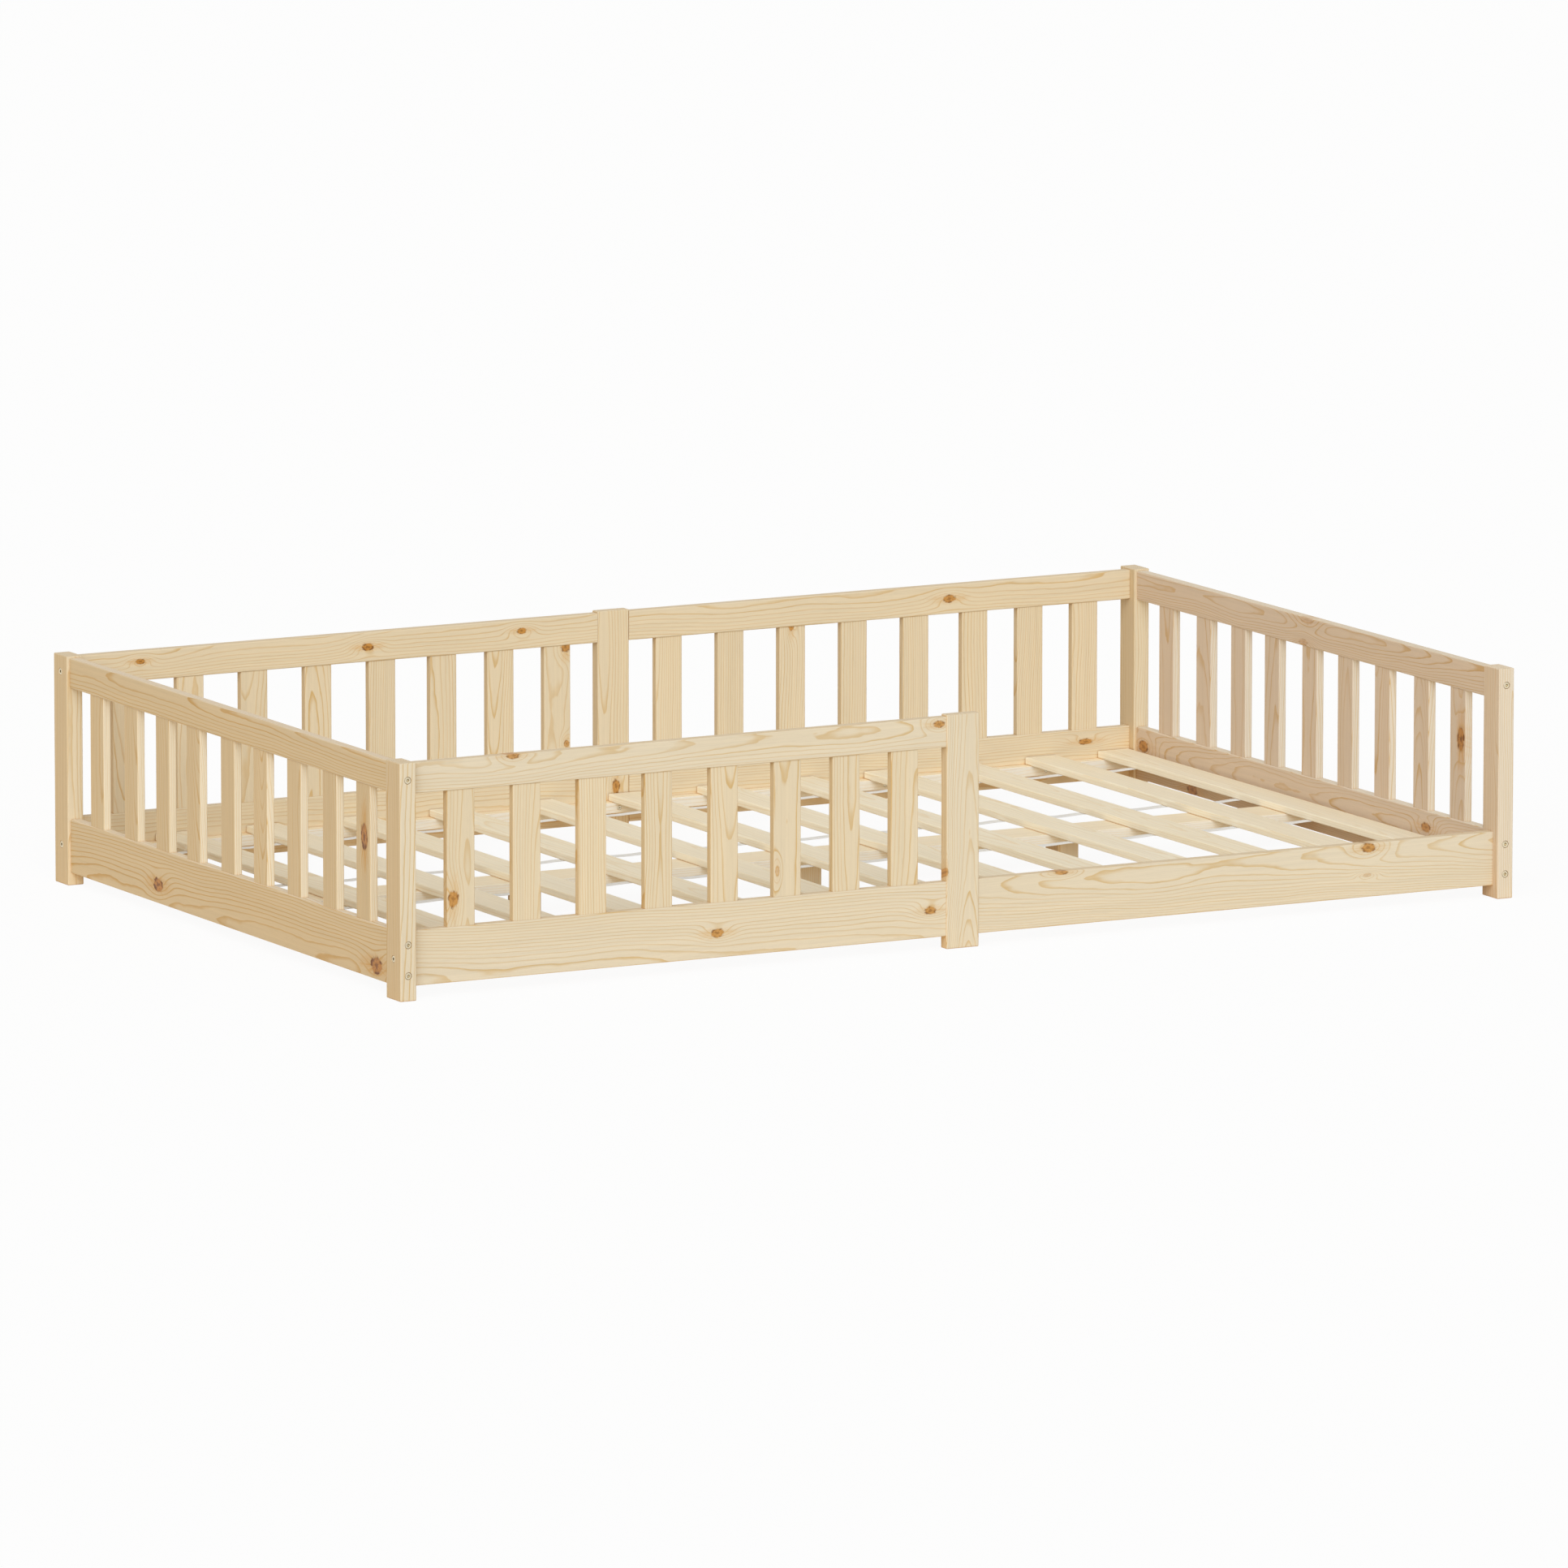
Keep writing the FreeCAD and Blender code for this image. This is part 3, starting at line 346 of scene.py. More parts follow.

# %% [markdown]
# ## A place in the trunk for every board
# A sawyer cuts boards from all over a trunk, so no two look alike. The place could be typed in for each of
# the bed's boards, but a seed that draws it is shorter, and gives the same wood every time. Only boards whose
# figure is plain to see have their pith listed. The bars of one panel are one node, so the material
# works out the number of each bar from its place, and draws from that number.

# %% Directions of a board, and its place in a row
AXES = {"X": 0, "Y": 1, "Z": 2}


def board_place(graph, order, centre, row):
    """The point in the board's own directions, measured from its middle, and the number of the board in
    its row. order names the bed's axes that run along, across and through the board. In a row of equal
    boards the number is the distance along the row over the step, rounded."""
    point = graph.add("ShaderNodeTexCoord").outputs["Object"]
    axes = graph.split(graph.vector("SUBTRACT", point, tuple(centre)))
    along, across, through = (axes[AXES[letter]] for letter in order)
    if row is None:
        return graph.join(along, across, through), None
    number = graph.sum("ROUND", graph.sum("DIVIDE", across, row))
    across = graph.sum("MULTIPLY_ADD", number, -row, across)
    return graph.join(along, across, through), number


print("directions ready")

# %% Trunk of one board
# how far the pith and its lean differ between the bars of a row, and by how much their seeds differ
ROW_ACROSS, ROW_LEAN, ROW_BELOW, ROW_SEED = 0.045, 0.09, 0.05, 3.7


def place_in_trunk(graph, seed, pith, number):
    """Inputs of the growth rings for one board: where the middle of the trunk lies, how it leans and how
    wide the rings are, drawn from the seed unless pith gives them. Boards of a row differ from these by
    three lucky numbers from -0.5 to 0.5, of which the first is also given back."""
    chance = np.random.default_rng(seed)
    side = chance.choice([-1.0, 1.0])
    wood = {"Across": chance.uniform(-0.045, 0.045), "Below": side * chance.uniform(0.020, 0.060),
            "Lean Across": chance.uniform(-0.012, 0.012), "Ring": chance.uniform(0.0032, 0.0050),
            "Lean Below": chance.choice([-1.0, 1.0]) * chance.uniform(0.006, 0.022)}
    wood.update(pith or {})
    wood["Seed"] = float(seed)
    if number is None:
        return wood, None
    spot = graph.sum("ADD", number, float(seed))
    luck = graph.add("ShaderNodeTexWhiteNoise", {"W": spot}, noise_dimensions="1D").outputs["Color"]
    luck = graph.split(graph.vector("SUBTRACT", luck, (0.5, 0.5, 0.5)))
    wood["Seed"] = graph.sum("MULTIPLY_ADD", number, ROW_SEED, float(seed))
    wood["Across"] = graph.sum("MULTIPLY_ADD", luck[0], ROW_ACROSS, wood["Across"])
    wood["Lean Below"] = graph.sum("MULTIPLY_ADD", luck[1], ROW_LEAN, wood["Lean Below"])
    wood["Below"] = graph.sum("MULTIPLY_ADD", luck[2], ROW_BELOW, wood["Below"])
    return wood, luck[0]


print("trunk ready")

# %% Knots of one board
# the seeds of two knots of a board differ by this, and a point without a knot is moved this many metres
KNOT_SEED, FAR_AWAY = 5.3, 9.0


def knot_marks(graph, point, number, order, centre, seed, knots, row):
    """Marks that all knots of a board leave: how far they push the rings, and their plug, dark and halo."""
    marks = {"Bulge": 0.0, "Plug": 0.0, "Dark": 0.0, "Halo": 0.0}
    for k, (along, across, half_long, half_wide, strong) in enumerate(knots):
        middle = [along - centre[AXES[order[0]]], across - centre[AXES[order[1]]], 0.0]
        place = point
        if row is not None:
            # only the board that holds the knot shows it: the points of all others are moved away
            holder = round(middle[1] / row)
            middle[1] -= holder * row
            miss = graph.sum("ABSOLUTE", graph.sum("SUBTRACT", number, float(holder)))
            away = graph.join(0.0, graph.sum("MULTIPLY", miss, FAR_AWAY), 0.0)
            place = graph.vector("ADD", point, away)
        inputs = {"Place": place, "Seed": seed + KNOT_SEED * k, "Middle": tuple(middle),
                  "Half Long": half_long, "Half Wide": half_wide, "Strength": strong}
        inputs.update({f"{label} Before": given for label, given in marks.items()})
        branch = graph.add("ShaderNodeGroup", inputs, node_tree=knot.tree)
        marks = {label: branch.outputs[label] for label in marks}
    return marks


print("knots ready")

# %% [markdown]
# ## Corners and faces
# Shade is painted darker into the line where two boards meet, and warm light is painted into hidden corners,
# as light that has met more wood on its way would be. Both are found by how much of the air close by is open.
# Each face of a board also gets a tone by the way it looks, which paints light and shade into it: the faces
# to the left are darker and more golden, and the edges of the slats and the fronts of the ledges and the beam
# are paler. The boards could be cut into faces with a material each, but the direction in which a face looks
# already says which one it is.

# %% Tints of corners and faces
# the distance that is searched for other wood, the open share at which the tint is strongest and the one at
# which it is gone, how strong it gets, and its colour
# painted shade in the lines where boards meet and under surfaces close by
PAINTED_CONTACT_SHADE = {"distance": 0.005, "closed": 0.30, "opened": 0.85, "share": 0.55,
                "tint": (0.70, 0.52, 0.36, 1.0)}
# painted warm bounce light in hidden corners
PAINTED_BOUNCE_LIGHT = {"distance": 0.12, "closed": 0.10, "opened": 0.42, "share": 1.0,
                 "tint": (1.20, 1.04, 0.78, 1.0)}
# a face whose normal has at least this much along X has the whole tone of its side
SIDEWAYS = 0.01


def paint_corner_light_and_shade(graph, colour, distance, closed, opened, share, tint, samples=6, blend="MULTIPLY"):
    """Paints shade, or with a tint above 1 warm light, into the places where little of the air within a
    distance is open.
    """
    air = graph.add("ShaderNodeAmbientOcclusion", {"Distance": distance}, samples=samples).outputs["AO"]
    return graph.mix(graph.ramp(air, closed, opened, share, 0.0), colour, tint, blend)


def tone_and_light_faces(graph, colour, tones):
    """Multiplies the colour by the tone of the face, which paints light and shade by the way the face looks.
    The squares of the parts of its normal, which add up to 1, are the shares of the tones, and the sign of
    its X part picks the left one or the right one."""
    to_left, to_right, along_y, along_z = tones
    normal = graph.add("ShaderNodeNewGeometry").outputs["True Normal"]
    facing = graph.split(graph.vector("MULTIPLY", normal, normal))
    side = graph.ramp(graph.split(normal)[0], -SIDEWAYS, SIDEWAYS)
    tint = graph.mix(side, (*to_left, 1.0), (*to_right, 1.0))
    tint = graph.vector("MULTIPLY", facing[0], tint)
    tint = graph.vector("MULTIPLY_ADD", facing[1], along_y, tint)
    tint = graph.vector("MULTIPLY_ADD", facing[2], along_z, tint)
    return graph.mix(1.0, colour, tint, "MULTIPLY")


print("tints of corners and faces ready")

# %% Pine material
# the roughness of spring wood, and what late wood, fibres and knots add to it
SPRING_ROUGH, LATE_ROUGH, FIBRE_ROUGH, PLUG_ROUGH = 0.58, -0.10, 0.12, -0.12
# what fibres, late wood and the dark parts of knots add to the height
FIBRE_HEIGHT, LATE_HEIGHT, DARK_HEIGHT = 0.5, 0.35, -1.0
# the patterns are read away from where the rings read their waves
PATTERN_SHIFT = (2.0, 5.0)


def pine(name, order, centre, seed, tones, knots=(), row=None, contrast=1.0, pith=None, paint_bounce_light=True):
    """Bare pine for one board, or for a row of boards that differ by their number in the row. tones are the
    tones of the faces that look to -X, to +X, along Y and along Z, which paint light and shade over the
    wood's own tone, and contrast is the strength of the late wood's lines. Slats and feet go without the
    painted warm bounce light of the hidden corners, which turned them orange."""
    material = bpy.data.materials.new(name)
    graph = empty_graph(material)
    point, number = board_place(graph, order, centre, row)
    wood, luck = place_in_trunk(graph, seed, pith, number)
    marks = knot_marks(graph, point, number, order, centre, seed, knots, row)
    wood.update({"Place": point, "Bulge": marks["Bulge"]})
    late_wood = graph.add("ShaderNodeGroup", wood, node_tree=rings.tree).outputs["Late"]
    shift = graph.join(wood["Seed"], *PATTERN_SHIFT)
    fibres = along_grain(graph, point, shift, *FIBRES)

    colour = bare_colour(graph, point, shift, fibres, late_wood, contrast, luck)
    # painted shade where boards meet
    colour = paint_corner_light_and_shade(graph, colour, **PAINTED_CONTACT_SHADE)
    # painted warm bounce light in the hidden corners
    if paint_bounce_light:
        colour = paint_corner_light_and_shade(graph, colour, **PAINTED_BOUNCE_LIGHT)
    if knots:
        for label, (share, paint) in KNOT_PAINT.items():
            colour = graph.mix(graph.sum("MULTIPLY", marks[label], share), colour, paint)
    # painted light and shade by the way each face looks, over the wood's own tone
    colour = tone_and_light_faces(graph, colour, tones)

    rough = graph.sum("MULTIPLY_ADD", late_wood, LATE_ROUGH, SPRING_ROUGH)
    rough = graph.sum("MULTIPLY_ADD", fibres, FIBRE_ROUGH, rough)
    height = graph.sum("MULTIPLY_ADD", fibres, FIBRE_HEIGHT, graph.sum("MULTIPLY", late_wood, LATE_HEIGHT))
    if knots:
        rough = graph.sum("MULTIPLY_ADD", marks["Plug"], PLUG_ROUGH, rough)
        height = graph.sum("MULTIPLY_ADD", marks["Dark"], DARK_HEIGHT, height)
    bump = graph.add("ShaderNodeBump", {"Strength": 0.35, "Distance": 0.0004, "Height": height})
    surface = graph.add("ShaderNodeBsdfPrincipled", {
        "Base Color": colour, "Roughness": rough, "Specular IOR Level": 0.32, "Normal": bump.outputs[0]})
    graph.add("ShaderNodeOutputMaterial", {"Surface": surface.outputs[0]})
    return material


print("pine ready")

# %% Dressing a board
def dress(node, material):
    """Gives a node of the model one material on all its faces."""
    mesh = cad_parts[node].data
    mesh.materials.clear()
    mesh.materials.append(material)


def middle_of(node):
    low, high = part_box(node)
    return (low + high) / 2


print("the middle of the beam is at", tuple(middle_of("centre_beam")))

# %% [markdown]
# ## Which board gets which wood
# Long rails lie along X, end rails and slats along Y, posts and bars stand along Z. The three letters of a
# board are the directions along it, across its broad face and through it. The knots are where the real bed
# has them, because anyone who knows the bed looks for its knots. Each is a row of five numbers: its place in
# the bed along the board and across the board, half its length, half its width, and how strongly it is
# coloured. Halfway through the board it is at that place.

# %% Tones of the faces and seeds of the boards
# each tone is for the faces to -X, to +X, along Y and along Z, and paints light and shade: the faces to the
# left are darker and more golden, the faces to the front paler; the right end is rosier than the left one
SIDE = (0.960, 0.915, 0.855)
ROSY_SIDE = (0.950, 0.920, 0.960)
PALE = ((0.777, 0.732, 0.663), SIDE, (0.948, 1.027, 1.165), (0.890, 0.890, 0.890))
PALE_POST = ((0.932, 0.880, 0.795), *PALE[1:])
FRONT_BARS = ((0.865, 0.805, 0.690), SIDE, (0.957, 1.008, 1.080), (0.890, 0.890, 0.890))
REAR = ((0.777, 0.732, 0.657), SIDE, (0.998, 1.032, 1.076), (0.890, 0.890, 0.890))
GOLDEN = ((0.777, 0.732, 0.652), SIDE, (1.092, 1.180, 1.340), (0.940, 0.961, 1.044))
ROSY = ((0.777, 0.743, 0.800), ROSY_SIDE, (0.978, 1.058, 1.270), (0.950, 1.013, 1.178))
ROSY_POST = ((0.795, 0.760, 0.795), ROSY_SIDE, (0.962, 1.040, 1.238), (0.971, 0.992, 1.075))
SIDE_TONES = {"front": PALE, "rear": REAR, "left": GOLDEN, "right": ROSY}
OWN_TONES = {"front_right_post": ROSY_POST, "front_mid_post": PALE_POST}
# each kind of board counts its seeds on from here
LONG_SEED, BAR_SEED, SLAT_SEED, SUPPORT_SEED, FOOT_SEED, DOWEL_SEED = 11, 41, 61, 81, 91, 101
print(len(SIDE_TONES) + len(OWN_TONES), "sets of tones for rails and posts")

# %% Rails and posts, with their knots
LONG_BOARDS = {
    "front_top_rail": ("XZY", [(-0.822, 0.3805, 0.011, 0.006, 0.9), (-0.047, 0.371, 0.010, 0.006, 0.9)]),
    "front_left_bottom_rail": ("XZY", [(-0.453, 0.061, 0.0115, 0.007, 1.0),
                                       (-0.062, 0.066, 0.010, 0.0065, 1.0)]),
    "front_right_bottom_rail": ("XZY", [(0.760, 0.103, 0.013, 0.0075, 1.0), (0.182, 0.109, 0.011, 0.004, 0.9),
                                        (0.758, 0.058, 0.007, 0.003, 0.3)]),
    "rear_left_top_rail": ("XZY", [(-0.890, 0.364, 0.0085, 0.0045, 1.2), (-0.467, 0.357, 0.0105, 0.006, 1.2),
                                   (-0.177, 0.363, 0.009, 0.005, 1.1)]),
    "rear_right_top_rail": ("XZY", [(0.644, 0.358, 0.012, 0.0065, 1.0)]),
    "rear_left_bottom_rail": ("XZY", [(-0.62, 0.050, 0.010, 0.006, 0.8)]),
    "rear_right_bottom_rail": ("XZY", [(0.912, 0.090, 0.013, 0.005, 1.0)]),
    "left_bottom_rail": ("YZX", [(0.253, 0.052, 0.016, 0.011, 1.5), (-0.546, 0.044, 0.019, 0.013, 1.4)]),
    "left_top_rail": ("YZX", []),
    "right_bottom_rail": ("YZX", [(0.561, 0.080, 0.016, 0.010, 1.0), (-0.397, 0.083, 0.014, 0.008, 0.9),
                                  (0.391, 0.030, 0.016, 0.010, 1.0)]),
    "right_top_rail": ("YZX", [(0.004, 0.379, 0.020, 0.009, 0.25), (0.014, 0.338, 0.014, 0.006, 0.35)]),
    "front_left_post": ("ZXY", []),
    "front_right_post": ("ZXY", []),
    "rear_left_post": ("ZXY", []),
    "rear_right_post": ("ZXY", []),
    "front_mid_post": ("ZXY", [(0.12445, -0.030, 0.007, 0.003, 0.8)]),
    "rear_mid_post": ("ZXY", [(0.07965, 0.005, 0.012, 0.007, 1.0)]),
}
print(len(LONG_BOARDS), "boards, with", sum(len(knots) for _, knots in LONG_BOARDS.values()), "knots")

# %% Boards with a figure of their own
# tall arches on the middle post and on the low rail of the right end, and wide, nearly straight lines on the
# left end. Across and Below are how far the pith lies from the middle of the board, across and through it
PITHS = {
    "front_mid_post": {"Across": 0.013, "Below": 0.024, "Lean Below": 0.034, "Ring": 0.0028},
    "right_bottom_rail": {"Across": 0.012, "Below": 0.040, "Lean Below": 0.030, "Ring": 0.0027},
    "left_bottom_rail": {"Across": -0.040, "Below": -0.055, "Lean Below": -0.020, "Ring": 0.0046},
    "left_top_rail": {"Across": 0.022, "Below": -0.034, "Lean Below": -0.018, "Ring": 0.0044},
    "right_top_rail": {"Across": 0.014, "Below": -0.034, "Lean Below": 0.016, "Ring": 0.0032},
    "front_top_rail": {"Across": 0.016, "Below": 0.032, "Lean Below": 0.018, "Ring": 0.0034},
    "front_right_bottom_rail": {"Across": 0.030, "Below": 0.046, "Lean Below": -0.024, "Ring": 0.0033},
    "front_left_bottom_rail": {"Across": -0.044, "Below": 0.050, "Lean Below": 0.014, "Ring": 0.0040},
    "rear_left_top_rail": {"Across": 0.034, "Below": 0.040, "Lean Below": 0.014, "Ring": 0.0036},
}
STRONG_FIGURE = {"right_bottom_rail": 1.15, "right_top_rail": 1.3, "left_bottom_rail": 1.5,
                 "left_top_rail": 1.5, "rear_left_post": 1.2, "front_left_post": 1.2}
print(len(PITHS), "boards with a pith given by hand")

# %% Cut the rails and posts
for number, (node, (order, knots)) in enumerate(LONG_BOARDS.items()):
    tones = OWN_TONES.get(node, SIDE_TONES[node.split("_")[0]])
    dress(node, pine(f"pine_{node}", order, middle_of(node), LONG_SEED + number, tones, knots,
                     contrast=STRONG_FIGURE.get(node, 1.0), pith=PITHS.get(node)))
print(len(LONG_BOARDS), "boards cut")

# %% Bars, in rows
# the first number is where the middle of bar number 0 stands along the row, and the step is the usual
# distance between two bars
LONG_STEP, END_STEP = 0.1152, 0.12275
BAR_ROWS = {
    "front_bars": ("ZXY", -0.912, LONG_STEP, FRONT_BARS, [(0.153, -0.926, 0.0135, 0.009, 1.0),
                                                          (0.151, -0.339, 0.009, 0.004, 0.4)]),
    "rear_left_bars": ("ZXY", -0.912, LONG_STEP, REAR, [(0.327, -0.090, 0.009, 0.008, 1.0),
                                                        (0.161, -0.088, 0.006, 0.005, 0.8)]),
    "rear_right_bars": ("ZXY", 0.107, LONG_STEP, REAR, [(0.330, 0.342, 0.008, 0.005, 1.0)]),
    "left_bars": ("ZYX", 0.0, END_STEP, GOLDEN, [(0.244, -0.497, 0.020, 0.0105, 1.5)]),
    "right_bars": ("ZYX", 0.0, END_STEP, ROSY, [(0.246, -0.503, 0.020, 0.0105, 1.5)]),
}
for number, (node, (order, first, step, tones, knots)) in enumerate(BAR_ROWS.items()):
    place = middle_of(node)
    place[AXES[order[1]]] = first
    dress(node, pine(f"pine_{node}", order, place, BAR_SEED + number, tones, knots, row=step))
print(len(BAR_ROWS), "rows of bars")

# %% Slats, ledges, beam and feet
# both edges of a slat are painted as pale as its top, and the front of a ledge and of the beam paler than its
# top, as painted light
SLAT_SIDE = (1.12, 1.24, 1.42)
SLAT_TONES = (SLAT_SIDE, SLAT_SIDE, (1.05, 1.08, 1.12), (1.115, 1.225, 1.385))
PLAIN = (1.0, 1.0, 1.0)
SUPPORT_TONES = (PLAIN, PLAIN, (1.15, 1.33, 1.72), (1.12, 1.19, 1.29))
# the feet are painted darker to the left and paler to the front, as painted light and shade
FOOT_TONES = ((0.90, 0.85, 0.78), PLAIN, (1.12, 1.20, 1.35), PLAIN)
SUPPORTS = {"front_ledge": "XZY", "rear_ledge": "XZY", "centre_beam": "XYZ"}
slats = sorted(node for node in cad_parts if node.startswith("slat_"))
for number, node in enumerate(slats):
    dress(node, pine(f"pine_{node}", "YXZ", middle_of(node), SLAT_SEED + number, SLAT_TONES, contrast=0.45,
                     paint_bounce_light=False))
for number, (node, order) in enumerate(SUPPORTS.items()):
    dress(node, pine(f"pine_{node}", order, middle_of(node), SUPPORT_SEED + number, SUPPORT_TONES,
                     contrast=0.6))
for number, node in enumerate(("left_foot", "middle_foot", "right_foot")):
    dress(node, pine(f"pine_{node}", "ZXY", middle_of(node), FOOT_SEED + number, FOOT_TONES,
                     paint_bounce_light=False))
print(len(slats), "slats and what carries them")

# %% [markdown]
# ## Dowels and screws
# The dowels are hidden in the rails, but they are there: a plainer, turned wood, for which the same pine
# serves with fainter lines. The screws are zinc plated. A flat grey would do at this distance, but a real
# plating is a little yellow, stained and rough, and the sockets and the rims under the heads are painted
# darker, as painted shade.

# %% Dowels
DOWEL_TONES = ((0.86, 0.80, 0.72),) * 4
dowels = [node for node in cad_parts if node.endswith("_dowels")]
for node in dowels:
    order = "YZX" if node.startswith("end") else "XZY"
    dress(node, pine(f"turned_{node}", order, middle_of(node), DOWEL_SEED, DOWEL_TONES, contrast=0.4))
print(len(dowels), "sets of dowels turned")

# %% Zinc-plated screws
ZINC, ZINC_STAINED = (0.84, 0.75, 0.55, 1.0), (0.70, 0.60, 0.41, 1.0)
STAIN_RANGE = (-0.2, 0.25)
ZINC_ROUGH, MARK_ROUGH = 0.36, 0.25
# painted shade in the sockets and in the recesses round the heads
PAINTED_RECESS_SHADE = {"distance": 0.004, "closed": 0.30, "opened": 0.90, "share": 0.60, "tint": (0.22, 0.15, 0.08, 1.0),
        "samples": 8, "blend": "MIX"}

zinc = bpy.data.materials.new("zinc_plate")
plate = empty_graph(zinc)
point = plate.add("ShaderNodeTexCoord").outputs["Object"]
marks = plate.noise(point, scale=900.0, detail=3.0)
stains = plate.ramp(plate.noise(point, scale=160.0, detail=2.0), *STAIN_RANGE)
zinc_colour = paint_corner_light_and_shade(plate, plate.mix(stains, ZINC, ZINC_STAINED), **PAINTED_RECESS_SHADE)
zinc_rough = plate.sum("MULTIPLY_ADD", marks, MARK_ROUGH, ZINC_ROUGH)
zinc_bump = plate.add("ShaderNodeBump", {"Strength": 0.2, "Distance": 0.0001, "Height": marks})
zinc_surface = plate.add("ShaderNodeBsdfPrincipled", {
    "Base Color": zinc_colour, "Roughness": zinc_rough, "Metallic": 1.0, "Normal": zinc_bump.outputs[0]})
plate.add("ShaderNodeOutputMaterial", {"Surface": zinc_surface.outputs[0]})
fasteners = [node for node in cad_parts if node.endswith(("_bolts", "_screws"))]
for node in fasteners:
    dress(node, zinc)
print(len(fasteners), "sets of screws plated")

# %% [markdown]
# ## Tapes
# Four white woven tapes hold the slats at their distance. Each is stapled under every slat and hangs a
# little slack in between. A cloth simulation could let it hang, but its shape is so plain that a formula
# gives it at once. So a tape is one surface: a flat section with rounded edges, carried along a path whose
# height follows the slats. The weave reads the tape's own length and width from its UV map, because it has
# to follow the tape and not the bed.

# %% A closed band carried along a path
EDGE_POINTS = 5


def tube_faces(rows, columns, flip=False):
    """Faces of a tube with closed ends, whose row i has the points i * columns to (i + 1) * columns - 1:
    quads from each point to the next in its row and in the next row, then one face for each end. They look
    outwards where the section turns about the path like a right-handed screw, and with flip where it turns
    like a left-handed one."""
    i, j = np.meshgrid(np.arange(rows - 1), np.arange(columns), indexing="ij")
    following = (j + 1) % columns
    quads = np.stack([i * columns + j, i * columns + following, (i + 1) * columns + following,
                      (i + 1) * columns + j], -1).reshape(-1, 4)
    first, last = list(range(columns)), list(range((rows - 1) * columns, rows * columns))
    if flip:
        return quads[:, [0, 3, 2, 1]].tolist() + [first, last[::-1]]
    return quads.tolist() + [first[::-1], last]


def run_along(path):
    """Distance from the start of a path to each of its points: the lengths of its steps, added up."""
    return np.concatenate([[0.0], np.cumsum(np.linalg.norm(np.diff(path, axis=0), axis=1))])


def band(name, path, section):
    """A closed section carried along a path of points at a fixed turn: the point of row i and column j is
    path[i] + (0, section_y[j], section_z[j]). Its map holds the distance along the path and section_y."""
    columns = len(section)
    grid = path[:, None, :] + np.stack([np.zeros(columns), section[:, 0], section[:, 1]], 1)[None]
    mesh = bpy.data.meshes.new(name)
    mesh.from_pydata(grid.reshape(-1, 3).tolist(), [], tube_faces(len(path), columns))
    corner = np.empty(len(mesh.loops), np.int32)
    mesh.loops.foreach_get("vertex_index", corner)
    flat_map = np.stack([run_along(path)[corner // columns], section[corner % columns, 0]], 1)
    mesh.uv_layers.new(name="weave").data.foreach_set("uv", flat_map.astype(np.float32).ravel())
    mesh.update()
    piece = bpy.data.objects.new(name, mesh)
    bed.objects.link(piece)
    return piece


def flat_section(wide, thick):
    """Section of a tape: a flat oblong with half-round edges, anticlockwise with Y to the right and Z up."""
    turn = np.linspace(-0.5, 0.5, EDGE_POINTS) * np.pi
    side = np.stack([wide / 2 - thick / 2 + np.cos(turn) * thick / 2, np.sin(turn) * thick / 2], 1)
    return np.concatenate([side, -side])


print("band ready, with", 2 * EDGE_POINTS, "points round it")

# %% Path of a tape
TAPE_WIDE, TAPE_THICK, TAPE_SLACK = 0.018, 0.0008, 0.0016
POINTS_ON_SLAT, POINTS_OVER_GAP = 4, 12
slat_ends = [(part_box(node)[0].x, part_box(node)[1].x) for node in slats]
slat_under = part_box(slats[0])[0].z


def tape_path(y):
    """Points under the slats: level where a slat holds the tape, and in the gap to the next slat a sag of
    slack times the square of the sine of the share of the gap."""
    share = np.linspace(0, 1, POINTS_OVER_GAP)[1:-1]
    places, sags = [], []
    for (low, high), following in zip(slat_ends, slat_ends[1:] + [None]):
        places.append(np.linspace(low, high, POINTS_ON_SLAT))
        sags.append(np.zeros(POINTS_ON_SLAT))
        if following is not None:
            places.append(high + (following[0] - high) * share)
            sags.append(TAPE_SLACK * np.sin(np.pi * share) ** 2)
    places, sags = np.concatenate(places), np.concatenate(sags)
    return np.stack([places, np.full(len(places), y), slat_under - TAPE_THICK / 2 - sags], 1)


print("tape path of", len(tape_path(0.0)), "points")

# %% Woven tape material
# the hollows of the weave are painted darker than the threads, as painted shade
TAPE_SHADED_HOLLOW = (0.78, 0.78, 0.78, 1.0)
TAPE_THREAD = (0.90, 0.90, 0.895, 1.0)
TAPE_DARKER_EDGE = (0.72, 0.72, 0.73, 1.0)
WARP_STEP, WEFT_STEP = 0.0016, 0.0012
DARKER_EDGE_STARTS, DARKER_EDGE_FULL, DARKER_EDGE_SHARE = 0.0074, 0.0080, 0.35
LINT_SCALE = (300.0, 700.0, 0.0)
TAPE_ROUGH, LINT_ROUGH, LINT_HEIGHT = 0.82, 0.2, 0.5

webbing = bpy.data.materials.new("woven_tape")
weave = empty_graph(webbing)
on_tape = weave.add("ShaderNodeUVMap", uv_map="weave").outputs[0]
thread = weave.split(on_tape)
# plain weave: the warp rises where the sine of its place is positive, the weft half a step later
warp = weave.sum("SINE", weave.sum("MULTIPLY", thread[0], 2 * math.pi / WARP_STEP))
weft = weave.sum("SINE", weave.sum("MULTIPLY", thread[1], 2 * math.pi / WEFT_STEP))
crossing = weave.sum("MULTIPLY", warp, weft)
# the tape is darker towards both edges
darker_edge = weave.ramp(weave.sum("ABSOLUTE", thread[1]), DARKER_EDGE_STARTS, DARKER_EDGE_FULL)
lint = weave.noise(weave.vector("MULTIPLY", on_tape, LINT_SCALE))
